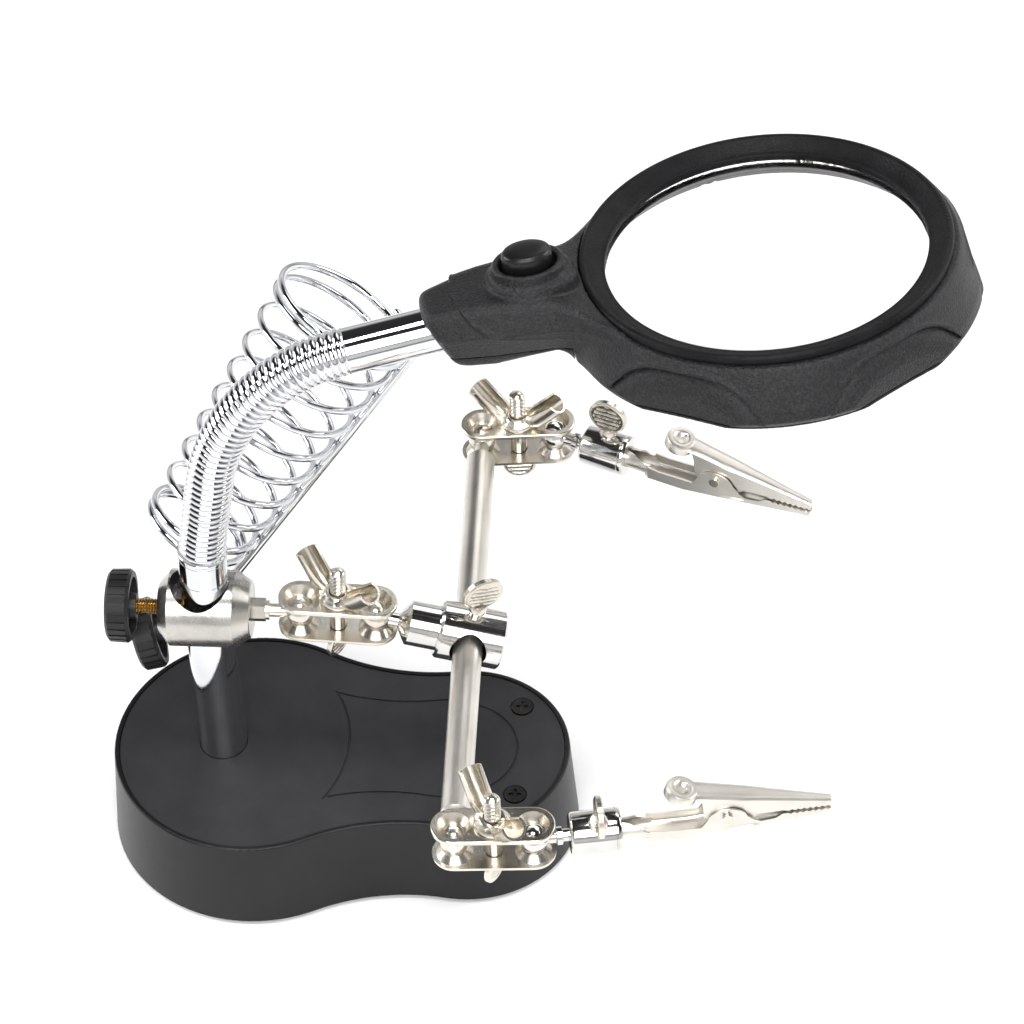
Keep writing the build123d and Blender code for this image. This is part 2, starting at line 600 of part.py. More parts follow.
def rod_clamp_parts():
    place = FRAMES["rod_clamp"]
    keep("rod_clamp_ball", place * loose_ball())
    c = ROD_CLAMP_REACH
    body = turned_x((-3.6, 0), (-3.6, STEM_R), (6.6, STEM_R), (8.6, 5.2), (9.6, 6.6), (18.2, 6.6), (18.2, 7.9),
                    (19.0, 8.6), (c + 9.4, 8.6), (c + 10.0, 8.0), (c + 10.0, 0))
    bore = Pos(c, 0, ROD_BORE_UP) * (Rot(90, 0, 0) * Cylinder(ROD_BORE_R, 40))
    hole = Pos(c, 0, 0) * up(2.0, 0, 12)
    keep("rod_clamp", place * (body - bore - hole))
    screw = Rot(0, 0, 25) * thumb_screw(ROD_R + 0.15, 18.0)
    keep("rod_thumb_screw", place * (Pos(c, 0, 0) * screw))

    span = turned((0, -ROD_FRONT - 3.4), (STEM_R, -ROD_FRONT - 3.4), (STEM_R, -ROD_FRONT + 7.2),
                  (ROD_R, -ROD_FRONT + 9.2), (ROD_R, ROD_BACK - 9.2), (STEM_R, ROD_BACK - 7.2),
                  (STEM_R, ROD_BACK + 3.4), (0, ROD_BACK + 3.4))
    keep("cross_rod", FRAMES["rod"] * (Rot(-90, 0, 0) * span))
    for side, reach in (("front", -ROD_FRONT), ("back", ROD_BACK)):
        ball = Rot(0, 0, 90) * loose_ball()
        keep(f"{side}_rod_ball", FRAMES["rod"] * (Pos(0, reach, 0) * ball))


# ---------------------------------------------------------------- clips

def outline(points, y0, y1):
    """A side outline, from (along, up) corners, drawn out across from y0 to y1."""
    face = make_face(Polyline(*[(x, y0, z) for x, z in points], close=True))
    return extrude(face, amount=y1 - y0, dir=(0, 1, 0))


def wedge(widths, grow):
    """What a clip's width allows: (along, half width) corners seen from above."""
    upper = [(x, w + grow, -20) for x, w in widths]
    lower = [(x, -w - grow, -20) for x, w in reversed(widths)]
    return extrude(make_face(Polyline(*upper, *lower, close=True)), amount=60, dir=(0, 0, 1))


def lower_jaw():
    """The jaw that stays: barrel, channel, ears and toothed nose."""
    px, pz = CLIP_PIVOT
    ear = [(px + 5.4 * cos(radians(a)), pz - 1.2 + 4.4 * sin(radians(a))) for a in range(170, 5, -20)]
    side = [(25.0, -2.6), (33.0, -3.4), (44.0, -3.4), (54.0, -2.2), (CLIP_TIP, -1.4), (CLIP_TIP, 0.3),
            (70.0, 1.2), (62.4, 1.2)] + ear[::-1] + [(46.6, 0.6), (34.0, 0.8), (28.6, 3.0), (25.0, 3.0)]
    widths = [(25.0, 3.4), (46.0, 3.7), (60.0, 3.7), (64.5, 2.5), (CLIP_TIP, 1.3)]
    body = outline(side, -6, 6) & wedge(widths, 0)
    inner = [(x, z + SHEET_T) for x, z in ((20.0, -2.3), (33.0, -3.4), (44.0, -3.4), (54.0, -2.2), (CLIP_TIP - 0.8, -1.4))]
    room = outline(inner + [(CLIP_TIP - 0.8, 30), (20.0, 30)], -6, 6) & wedge(widths, -SHEET_T)
    body -= room
    barrel = along(3.2, 15.0, 29.0) - along(2.6, 14.0, 40.0)
    barrel -= Pos(28.2, 0, 3.4) * Box(6, 10, 4)
    body = body + barrel
    body -= Pos(px, 0, pz) * (Rot(90, 0, 0) * Cylinder(0.95, 20))
    teeth = Part()
    for i in range(5):
        teeth += Pos(72.0 + 2.4 * i, 0, 1.2 - 0.06 * i) * (Rot(90, 0, 0) * (Rot(0, 0, 45) * Box(0.9, 0.9, 12)))
    return body - teeth


def upper_jaw():
    """The jaw that opens: toothed nose, flanges between the ears, lever and rolled thumb eye."""
    px, pz = CLIP_PIVOT
    side = [(47.0, 4.8), (48.4, 2.6), (58.0, 1.2), (62.6, 2.4), (70.0, 2.4), (71.0, 1.75), (CLIP_TIP - 0.1, 1.0),
            (CLIP_TIP - 0.1, 3.4), (47.0, 13.0), (44.0, 13.9), (44.0, 12.6), (46.8, 10.2)]
    widths = [(43.0, 2.5), (47.0, 2.85), (58.0, 2.85), (64.0, 2.4), (CLIP_TIP, 1.25)]
    body = outline(side, -6, 6) & wedge(widths, 0)
    top = [(40.0, 15.1), (44.0, 13.9), (47.0, 13.0), (CLIP_TIP - 0.9, 3.55)]
    room = outline([(x, z - SHEET_T) for x, z in top] + [(CLIP_TIP - 0.9, -9), (40.0, -9)], -6, 6)
    body -= room & wedge(widths, -SHEET_T)
    eye = Rot(90, 0, 0) * (Cylinder(5.2, 5.6) - Cylinder(1.9, 6))
    eye = Pos(41.7, 0, 14.0) * (eye - Rot(90, 0, 0) * (Cylinder(4.6, 4.4) - Cylinder(2.5, 4.5)))
    body = (body - Pos(41.7, 0, 14.0) * (Rot(90, 0, 0) * Cylinder(5.0, 12))) + eye
    body -= Pos(px, 0, pz) * (Rot(90, 0, 0) * Cylinder(0.95, 20))
    return body


def clip_arm(side, thumb_tilt, thumb_turn, screw_turn, wing_turn):
    ball_joint(side, FRAMES[side], screw_turn, wing_turn)
    place = FRAMES[side + "_socket"]
    body = turned_x((-3.6, 0), (-3.6, STEM_R), (6.2, STEM_R), (6.2, 2.6), (8.2, 2.6), (8.2, 1.7), (SOCKET[0], 1.7),
                    (SOCKET[0], 5.6), (SOCKET[0] + 0.7, SOCKET_R), (SOCKET[1] - 0.5, SOCKET_R),
                    (SOCKET[1], 5.8), (SOCKET[1], 0))
    body += Sphere(BALL_R)
    body -= along(3.28, 14.6, 40.0)
    tilt = Pos(THUMB_AT, 0, 0) * Rot(thumb_tilt, 0, 0)
    body -= tilt * up(2.0, 1.0, 12.0)
    keep(f"{side}_clip_socket", place * body)
    keep(f"{side}_thumb_screw", place * (tilt * (Rot(0, 0, thumb_turn) * thumb_screw(3.3, 14.6))))
    keep(f"{side}_clip_lower_jaw", place * lower_jaw())
    keep(f"{side}_clip_upper_jaw", place * upper_jaw())
    px, pz = CLIP_PIVOT
    at = Pos(px, 0, pz) * Rot(90, 0, 0)
    pin = at * (Cylinder(0.9, 8.4) + Pos(0, 0, 4.2) * Cylinder(1.5, 0.7) + Pos(0, 0, -4.2) * Cylinder(1.5, 0.7))
    keep(f"{side}_clip_pin", place * pin)
    keep(f"{side}_clip_spring", place * (at * (Cylinder(1.9, 3.2) - Cylinder(1.15, 4.0))))


# ---------------------------------------------------------------- the whole

base_parts()
tube_start, tube_dir = neck_parts()
head_parts(tube_start, tube_dir)
clamp_parts()
stand_parts()
ball_joint("mid", FRAMES["mid"], 60, -38)
rod_clamp_parts()
clip_arm("front", 24, 90, 60, -60)
clip_arm("back", 0, 0, 0, -20)

os.makedirs("parts", exist_ok=True)
for name, shape in parts.items():
    export_step(shape, f"parts/{name}.step")
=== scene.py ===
"""Helping hands clamp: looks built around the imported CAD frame.

Lengths in this file are millimetres, turned to metres once.
"""
import math
import random

import bmesh
import bpy
import numpy as np
import openvdb
from mathutils import Matrix, Vector, noise


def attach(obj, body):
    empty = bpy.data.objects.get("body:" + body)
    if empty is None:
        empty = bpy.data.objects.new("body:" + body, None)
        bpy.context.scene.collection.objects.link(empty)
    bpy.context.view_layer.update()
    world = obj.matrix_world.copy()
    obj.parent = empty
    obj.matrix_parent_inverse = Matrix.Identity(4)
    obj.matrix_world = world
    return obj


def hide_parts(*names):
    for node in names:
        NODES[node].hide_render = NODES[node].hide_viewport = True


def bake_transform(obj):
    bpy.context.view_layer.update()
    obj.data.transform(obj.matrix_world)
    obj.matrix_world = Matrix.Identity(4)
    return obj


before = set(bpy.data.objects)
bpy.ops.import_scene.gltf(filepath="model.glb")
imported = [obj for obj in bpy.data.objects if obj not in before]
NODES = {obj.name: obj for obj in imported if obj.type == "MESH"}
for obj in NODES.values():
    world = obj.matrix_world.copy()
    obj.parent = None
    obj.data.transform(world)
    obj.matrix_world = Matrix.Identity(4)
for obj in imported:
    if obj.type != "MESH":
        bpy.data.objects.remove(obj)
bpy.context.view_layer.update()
MM = 0.001
random.seed(7)


# ------------------------------------------------------------------ materials

def rgb(r, g, b):
    return (r, g, b, 1.0)


class Mat:
    """A node material around one Principled shader, in object coordinates."""

    def __init__(self, name):
        self.m = bpy.data.materials.new(name)
        self.m.use_nodes = True
        self.t = self.m.node_tree
        self.b = self.t.nodes["Principled BSDF"]
        self.co = self.t.nodes.new("ShaderNodeTexCoord").outputs["Object"]
        self.height = None

    def node(self, kind, **inputs):
        n = self.t.nodes.new(kind)
        for k, v in inputs.items():
            n.inputs[k.replace("_", " ")].default_value = v
        return n

    def set(self, **inputs):
        for k, v in inputs.items():
            self.b.inputs[k.replace("_", " ")].default_value = v
        return self

    def noise(self, scale, detail=3.0, rough=0.55, stretch=None):
        n = self.node("ShaderNodeTexNoise", Scale=scale, Detail=detail, Roughness=rough)
        src = self.co
        if stretch:
            mp = self.t.nodes.new("ShaderNodeMapping")
            mp.inputs["Scale"].default_value = stretch
            self.t.links.new(src, mp.inputs["Vector"])
            src = mp.outputs["Vector"]
        self.t.links.new(src, n.inputs["Vector"])
        return n.outputs["Fac"]

    def ramp(self, fac, stops):
        r = self.t.nodes.new("ShaderNodeValToRGB")
        el = r.color_ramp.elements
        while len(el) < len(stops):
            el.new(0.5)
        for e, (p, c) in zip(el, stops):
            e.position = p
            e.color = c if isinstance(c, tuple) else (c, c, c, 1.0)
        self.t.links.new(fac, r.inputs["Fac"])
        return r.outputs["Color"]

    def colour(self, fac, stops):
        self.t.links.new(self.ramp(fac, stops), self.b.inputs["Base Color"])
        return self

    def roughness(self, fac, lo, hi):
        mr = self.node("ShaderNodeMapRange", To_Min=lo, To_Max=hi)
        self.t.links.new(fac, mr.inputs["Value"])
        self.t.links.new(mr.outputs["Result"], self.b.inputs["Roughness"])
        return self

    def bump(self, fac, strength, distance):
        bm = self.node("ShaderNodeBump", Strength=strength, Distance=distance)
        self.t.links.new(fac, bm.inputs["Height"])
        if self.height:
            self.t.links.new(self.height, bm.inputs["Normal"])
        self.height = bm.outputs["Normal"]
        self.t.links.new(self.height, self.b.inputs["Normal"])
        return self


def metal(name, dark, light, lo, hi, fine=900.0, bump=0.05, blotch=60.0):
    """Polished or plated metal: faint clouding in the plating, hair marks, uneven gloss."""
    m = Mat(name).set(Metallic=1.0)
    m.colour(m.noise(blotch, 4.0), [(0.3, dark), (0.7, light)])
    m.roughness(m.noise(fine * 0.35, 5.0, 0.65), lo, hi)
    if bump:
        m.bump(m.noise(fine, 2.0), bump, 0.00008)
    return m.m


def plastic(name, dark, light, lo, hi, grain=1500.0, bump=0.3, depth=0.0001, wave=0.0):
    """Moulded plastic: fine grain, slightly uneven gloss."""
    m = Mat(name)
    m.colour(m.noise(90.0, 5.0), [(0.3, dark), (0.72, light)])
    m.roughness(m.noise(grain * 0.5, 3.0), lo, hi)
    if wave:
        m.bump(m.noise(40.0, 2.0), wave, 0.0004)
    m.bump(m.noise(grain, 2.0, 0.6), bump, depth)
    return m.m


def spark(name):
    """Spark-eroded black plastic: a coarse grain with small bright facets."""
    m = Mat(name).set(Specular_IOR_Level=0.3)
    m.colour(m.noise(1300.0, 2.5, 0.65), [(0.42, rgb(0.0035, 0.0035, 0.004)),
                                          (0.68, rgb(0.018, 0.018, 0.02))])
    m.roughness(m.noise(1100.0, 2.0), 0.24, 0.42)
    m.bump(m.noise(1500.0, 2.5, 0.7), 0.9, 0.0004)
    return m.m


def dark(name, low, high, lo, hi, grain, bump, depth, gloss):
    """A black plastic with its own gloss."""
    m = plastic(name, rgb(low, low, low * 1.08), rgb(high, high, high * 1.1), lo, hi, grain, bump, depth)
    m.node_tree.nodes["Principled BSDF"].inputs["Specular IOR Level"].default_value = gloss
    return m


M = {
    "spark": spark("spark_plastic"),
    "base": dark("base_plastic", 0.0055, 0.008, 0.33, 0.43, 1600.0, 0.16, 0.00008, 0.26),
    "cover": dark("cover_plastic", 0.023, 0.03, 0.42, 0.52, 1600.0, 0.22, 0.00008, 0.2),
    "knob": dark("knob_plastic", 0.006, 0.01, 0.36, 0.5, 1200.0, 0.25, 0.0001, 0.35),
    "bezel": dark("bezel_plastic", 0.004, 0.01, 0.3, 0.44, 1500.0, 0.7, 0.0003, 0.12),
    "button": dark("button_plastic", 0.004, 0.008, 0.26, 0.38, 1500.0, 0.25, 0.0001, 0.36),
    "rubber": plastic("pad_rubber", rgb(0.012, 0.012, 0.012), rgb(0.025, 0.025, 0.025), 0.75, 0.9, 500.0,
                      0.5, 0.0002),
    "box": plastic("box_plastic", rgb(0.03, 0.03, 0.032), rgb(0.05, 0.05, 0.054), 0.45, 0.6, 1200.0, 0.2,
                   0.0001),
    "board": plastic("lamp_board_green", rgb(0.02, 0.12, 0.05), rgb(0.03, 0.2, 0.09), 0.3, 0.45, 600.0, 0.1,
                     0.00005),
    "led": plastic("lamp_led_clear", rgb(0.8, 0.8, 0.72), rgb(0.95, 0.95, 0.9), 0.08, 0.16, 400.0, 0.02,
                   0.00002),
    "cell": plastic("cell_wrap", rgb(0.12, 0.13, 0.15), rgb(0.2, 0.21, 0.24), 0.25, 0.35, 400.0, 0.05,
                    0.00005),
    "chrome": metal("polished_chrome", rgb(0.62, 0.63, 0.655), rgb(0.72, 0.73, 0.75), 0.035, 0.09, 900.0,
                    0.03),
    "nickel": metal("warm_nickel", rgb(0.58, 0.54, 0.47), rgb(0.74, 0.7, 0.63), 0.19, 0.31, 700.0, 0.1),
    "satin": metal("satin_nickel", rgb(0.6, 0.57, 0.52), rgb(0.72, 0.69, 0.64), 0.3, 0.42, 700.0, 0.12),
    "bright": metal("bright_nickel", rgb(0.56, 0.55, 0.53), rgb(0.7, 0.69, 0.67), 0.07, 0.15, 800.0, 0.06),
    "cast": metal("satin_die_cast", rgb(0.34, 0.33, 0.31), rgb(0.56, 0.54, 0.5), 0.2, 0.36, 480.0, 0.5),
    "brass": metal("turned_brass", rgb(0.34, 0.2, 0.06), rgb(0.5, 0.33, 0.12), 0.2, 0.34, 700.0, 0.12),
    "black_steel": metal("black_oxide_steel", rgb(0.03, 0.03, 0.03), rgb(0.06, 0.06, 0.06), 0.25, 0.4,
                         700.0, 0.1),
    "steel": metal("spring_steel", rgb(0.42, 0.42, 0.42), rgb(0.56, 0.56, 0.56), 0.15, 0.28, 700.0, 0.08),
    "iron": plastic("cast_iron", rgb(0.09, 0.085, 0.08), rgb(0.15, 0.14, 0.13), 0.6, 0.8, 400.0, 0.5, 0.0003),
}


def lens_glass():
    m = Mat("lens_clear").set(Transmission_Weight=1.0, IOR=1.45, Metallic=0.0)
    m.colour(m.noise(20.0, 1.0), [(0.3, rgb(0.985, 0.99, 0.99)), (0.7, rgb(1.0, 1.0, 1.0))])
    m.roughness(m.noise(300.0, 1.0), 0.0, 0.012)
    return m.m


M["lens"] = lens_glass()

WEAR = {
    "base_tub": "base", "base_top_cover": "cover", "base_cover_screws": "black_steel",
    "base_rubber_pad": "rubber",
    "base_ballast_weight": "iron", "battery_box": "box", "battery_cells": "cell", "battery_door": "box",
    "battery_door_screw": "black_steel", "post_tube": "chrome", "post_bolt": "steel",
    "gooseneck_hose_1": "chrome", "gooseneck_hose_2": "chrome", "gooseneck_hose_3": "chrome",
    "gooseneck_hose_4": "chrome", "neck_tube": "chrome", "head_top_shell": "spark",
    "head_bottom_shell": "spark",
    "head_screws": "black_steel", "lens_bezel": "bezel", "magnifier_lens": "lens", "lamp_board": "board",
    "lamp_leds": "led", "lamp_switch": "box", "lamp_button": "button", "arm_clamp": "cast",
    "arm_stem": "nickel",
    "post_knob": "knob", "post_knob_screw": "brass", "stand_knob": "knob", "stand_knob_screw": "steel",
    "iron_stand_coil": "chrome", "iron_stand_rod": "chrome", "mid_joint_plates": "nickel",
    "mid_joint_screw": "nickel", "mid_wing_nut": "nickel", "rod_clamp_ball": "nickel", "rod_clamp": "bright",
    "rod_thumb_screw": "nickel", "cross_rod": "satin",
}
for side in ("front", "back"):
    WEAR.update({
        side + "_rod_ball": "nickel", side + "_joint_plates": "nickel", side + "_joint_screw": "nickel",
        side + "_wing_nut": "nickel", side + "_clip_socket": "bright", side + "_thumb_screw": "nickel",
        side + "_clip_lower_jaw": "nickel", side + "_clip_upper_jaw": "nickel", side + "_clip_pin": "nickel",
        side + "_clip_spring": "steel",
    })
for name, key in WEAR.items():
    o = NODES[name]
    o.data.materials.clear()
    o.data.materials.append(M[key])

# ------------------------------------------------------------------ meshes

def make(name, verts, faces, mat, smooth=True, sharp=None):
    """A mesh object from millimetre corners."""
    me = bpy.data.meshes.new(name)
    me.from_pydata([tuple(c * MM for c in v) for v in verts], [], faces)
    bm = bmesh.new()
    bm.from_mesh(me)
    bmesh.ops.recalc_face_normals(bm, faces=bm.faces)
    bm.to_mesh(me)
    bm.free()
    me.materials.append(M[mat])
    if smooth:
        me.shade_smooth()
    if sharp:
        me.set_sharp_from_angle(angle=math.radians(sharp))
    o = bpy.data.objects.new(name, me)
    bpy.context.scene.collection.objects.link(o)
    return o


def put(o, body, slot, *nodes):
    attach(o, body)
    if nodes:
        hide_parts(*nodes)
    return o


class Soup:
    """Corners and faces of several closed shapes, gathered for one object."""

    def __init__(self, place=None):
        self.v, self.f = [], []
        self.place = place or Matrix.Identity(4)

    def add(self, verts, faces, local=None):
        k = len(self.v)
        m = self.place @ local if local is not None else self.place
        self.v += [tuple(m @ Vector(p)) for p in verts]
        self.f += [tuple(k + i for i in f) for f in faces]
        return self

    def object(self, name, mat, sharp=35):
        return make(name, self.v, self.f, mat, True, sharp)


def place_at(origin, x, z):
    """A frame from its origin, X and Z directions."""
    x, z = Vector(x).normalized(), Vector(z).normalized()
    y = z.cross(x).normalized()
    x = y.cross(z)
    m = Matrix((x, y, z)).transposed().to_4x4()
    return Matrix.Translation(origin) @ m


def turn(axis, degrees):
    return Matrix.Rotation(math.radians(degrees), 4, axis)


def shift(x, y, z):
    return Matrix.Translation((x, y, z))


def lathe(profile, n=64, closed=True):
    """Corners (radius, height) turned about Z; zero radii close the ends."""
    verts, faces, rings = [], [], []
    for r, z in profile:
        if r < 1e-6:
            rings.append([len(verts)])
            verts.append((0, 0, z))
        else:
            rings.append(list(range(len(verts), len(verts) + n)))
            verts += [(r * math.cos(2 * math.pi * i / n), r * math.sin(2 * math.pi * i / n),
                       z) for i in range(n)]
    pairs = list(zip(rings, rings[1:]))
    if closed and len(rings[0]) > 1 and len(rings[-1]) > 1:
        pairs.append((rings[-1], rings[0]))
    for a, b in pairs:
        for i in range(n):
            j = (i + 1) % n
            if len(a) == 1 and len(b) == 1:
                continue
            if len(a) == 1:
                faces.append((a[0], b[i], b[j]))
            elif len(b) == 1:
                faces.append((a[i], b[0], a[j]))
            else:
                faces.append((a[i], b[i], b[j], a[j]))
    return verts, faces


def carry(points):
    """Directions and side vectors carried along a path without twisting."""
    out, side = [], None
    for i, p in enumerate(points):
        a, b = points[max(i - 1, 0)], points[min(i + 1, len(points) - 1)]
        d = (b - a).normalized()
        if side is None:
            side = d.orthogonal().normalized()
        side = (side - d * side.dot(d)).normalized()
        out.append((p, d, side, d.cross(side)))
    return out


def tube(points, radius, n=20, round_end=True):
    """A round bar along a path; radius is a number or a function of the step."""
    rings, verts = carry(points), []
    faces = []
    r_at = radius if callable(radius) else (lambda i: radius)
    layers = []
    if round_end:
        p, d, a, b = rings[0]
        for k in (0.98, 0.8, 0.45):
            r = r_at(0)
            layers.append((p - d * r * k, a, b, r * math.sqrt(1 - k * k)))
    for i, (p, d, a, b) in enumerate(rings):
        layers.append((p, a, b, r_at(i)))
    if round_end:
        p, d, a, b = rings[-1]
        for k in (0.45, 0.8, 0.98):
            r = r_at(len(rings) - 1)
            layers.append((p + d * r * k, a, b, r * math.sqrt(1 - k * k)))
    for p, a, b, r in layers:
        for i in range(n):
            t = 2 * math.pi * i / n
            verts.append(tuple(p + a * (r * math.cos(t)) + b * (r * math.sin(t))))
    for k in range(len(layers) - 1):
        for i in range(n):
            j = (i + 1) % n
            faces.append((k * n + i, k * n + j, (k + 1) * n + j, (k + 1) * n + i))
    faces.append(tuple(range(n - 1, -1, -1)))
    last = (len(layers) - 1) * n
    faces.append(tuple(range(last, last + n)))
    return verts, faces


def thread(r, pitch, low, high, depth=0.42, n=36, per=8):
    """A screw's threaded bar along Z, its crests at r."""
    verts, faces = [], []
    rows = int((high - low) / pitch * per)
    for k in range(rows + 1):
        for i in range(n):
            z = low + (high - low) * k / rows
            ph = ((z - low) / pitch - i / n) % 1.0
            cut = depth * (1 - abs(2 * ph - 1)) ** 1.0
            end = min(1.0, (high - z) / (0.7 * pitch) + 0.35)
            rr = (r - cut) * min(1.0, end if z > high - pitch else 1.0)
            t = 2 * math.pi * i / n
            verts.append((rr * math.cos(t), rr * math.sin(t), z))
    for k in range(rows):
        for i in range(n):
            j = (i + 1) % n
            faces.append((k * n + i, k * n + j, (k + 1) * n + j, (k + 1) * n + i))
    faces.append(tuple(range(n - 1, -1, -1)))
    faces.append(tuple(range(rows * n, rows * n + n)))
    return verts, faces


# ------------------------------------------------------------------ the gooseneck

POST_TOP = 106.0
NECK_AZ = math.radians(14.1)
NECK_ARCS = ((15.0, 8.9), (23.7, 1.2), (32.5, 34.3), (28.8, 37.7))
NECK_LEN = sum(a for a, _ in NECK_ARCS)


def neck_at(t):
    """Point and heading on the neck's centre line, t along it from the post's top."""
    s, z, h = 0.0, POST_TOP, math.radians(90)
    for length, bend in NECK_ARCS:
        b = math.radians(bend)
        r = length / b
        step = min(max(t, 0 if s else t), length)
        g = h - b * step / length
        ds, dz = r * (math.sin(h) - math.sin(g)), r * (math.cos(g) - math.cos(h))
        s, z, h, t = s + ds, z + dz, g, t - step
        if t <= 1e-9:
            break
    s, z = s + t * math.cos(h), z + t * math.sin(h)
    return Vector((s * math.cos(NECK_AZ), s * math.sin(NECK_AZ), z)), h


SLEEVE = 10.25               # the plain end of the hose, over the post


def gooseneck():
    pitch, fine = 2.05, 14
    ends = [0.0]
    for length, _ in NECK_ARCS:
        ends.append(ends[-1] + length)
    mids = [(a + b) / 2 for a, b in zip(ends, ends[1:])]
    cuts = [0.1] + [round(m / pitch) * pitch for m in mids] + [NECK_LEN + 1.2]
    for k in range(5):
        low, high = cuts[k], cuts[k + 1]
        rows = max(int((high - low) / pitch * fine), 4)
        pts = [neck_at(low + (high - low) * i / rows)[0] for i in range(rows + 1)]

        def radius(i, low=low, high=high, rows=rows):
            at = low + (high - low) * i / rows
            if at < SLEEVE:
                return 7.08 if at < SLEEVE - 0.9 else 7.3
            return 6.05 + 0.8 * math.sqrt(max(math.sin(math.pi * ((at / pitch) % 1.0)), 0.0))

        v, f = tube(pts, radius, 56, False)
        o = make(f"gooseneck_coil_{k + 1}", v, f, "chrome", True)
        joint = ends[k]
        a = max(mids[k - 1] if k else -3.0, joint - 8)
        b = min(mids[k] if k < 4 else NECK_LEN + 6, joint + 8)
        tuple(neck_at(a)[0] * MM)
        tuple(neck_at(b)[0] * MM)
        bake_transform(o)
        if k < 4:
            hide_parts(f"gooseneck_hose_{k + 1}")


# ------------------------------------------------------------------ the iron stand

COIL_FOOT = Vector((-6.19, 23.7, 98.15))
COIL_AXIS = Vector((0.538, 0.250, 0.805)).normalized()
COIL_SIDE = Vector((0.839, -0.063, -0.541)).normalized()
COIL_LEN, COIL_TURNS, COIL_ENDS, COIL_WIRE = 87.8, 11.12, 1.5, 1.15
COIL_R = (15.2, 20.9)


def iron_coil():
    """The cone of wire, with doubled turns at both ends and its cut ends."""
    side = (COIL_SIDE - COIL_AXIS * COIL_AXIS.dot(COIL_SIDE)).normalized()
    other = COIL_AXIS.cross(side)
    close = 1.15 * 2 * COIL_WIRE
    low = close * COIL_ENDS
    pitch = (COIL_LEN - 2 * low) / (COIL_TURNS - 2 * COIL_ENDS)
    steps = 64
    pts = []
    for i in range(int(COIL_TURNS * steps) + 1):
        t = i / steps
        if t < COIL_ENDS:
            h = close * t
        elif t > COIL_TURNS - COIL_ENDS:
            h = COIL_LEN - close * (COIL_TURNS - t)
        else:
            h = low + pitch * (t - COIL_ENDS)
        r = COIL_R[0] + (COIL_R[1] - COIL_R[0]) * h / COIL_LEN
        a = 2 * math.pi * t
        pts.append(COIL_FOOT + COIL_AXIS * h + side * (r * math.cos(a)) + other * (r * math.sin(a)))
    v, f = tube(pts, COIL_WIRE, 18)
    put(make("iron_coil_wire", v, f, "chrome"), "iron_stand", "chrome", "iron_stand_coil")


# ------------------------------------------------------------------ the head

LENS_C = Vector((158.8, 39.95, 200.1))
HEAD_N = Vector((-0.10, 0.10, 0.99)).normalized()
HEAD_X = Vector((math.cos(math.radians(14.3)), math.sin(math.radians(14.3)), 0))
HEAD = place_at(LENS_C, HEAD_X - HEAD_N * HEAD_X.dot(HEAD_N), HEAD_N)
SCALLOPS = (0, 64, -64, 128, -128)
BUTTON = (-65.6, 0.0)
VOXEL = 0.43


def polygon_distance(px, py, corners):
    """Signed distance from points to a polygon in the plane, negative inside."""
    d = np.full(px.shape, 1e9, np.float32)
    inside = np.zeros(px.shape, bool)
    n = len(corners)
    for k in range(n):
        ax, ay = corners[k]
        bx, by = corners[(k + 1) % n]
        ex, ey = bx - ax, by - ay
        wx, wy = px - ax, py - ay
        t = np.clip((wx * ex + wy * ey) / (ex * ex + ey * ey), 0, 1)
        d = np.minimum(d, (wx - ex * t) ** 2 + (wy - ey * t) ** 2)
        if ay != by:
            cross = ((ay > py) != (by > py)) & (px < (bx - ax) * (py - ay) / (by - ay) + ax)
            inside ^= cross
    d = np.sqrt(d)
    return np.where(inside, -d, d).astype(np.float32)


def blend_min(a, b, k):
    h = np.clip(0.5 + 0.5 * (b - a) / k, 0, 1)
    return b * (1 - h) + a * h - k * h * (1 - h)


def blend_max(a, b, k):
    return -blend_min(-a, -b, k)


def ease(x):
    x = np.clip(x, 0, 1)
    return x * x * (3 - 2 * x)


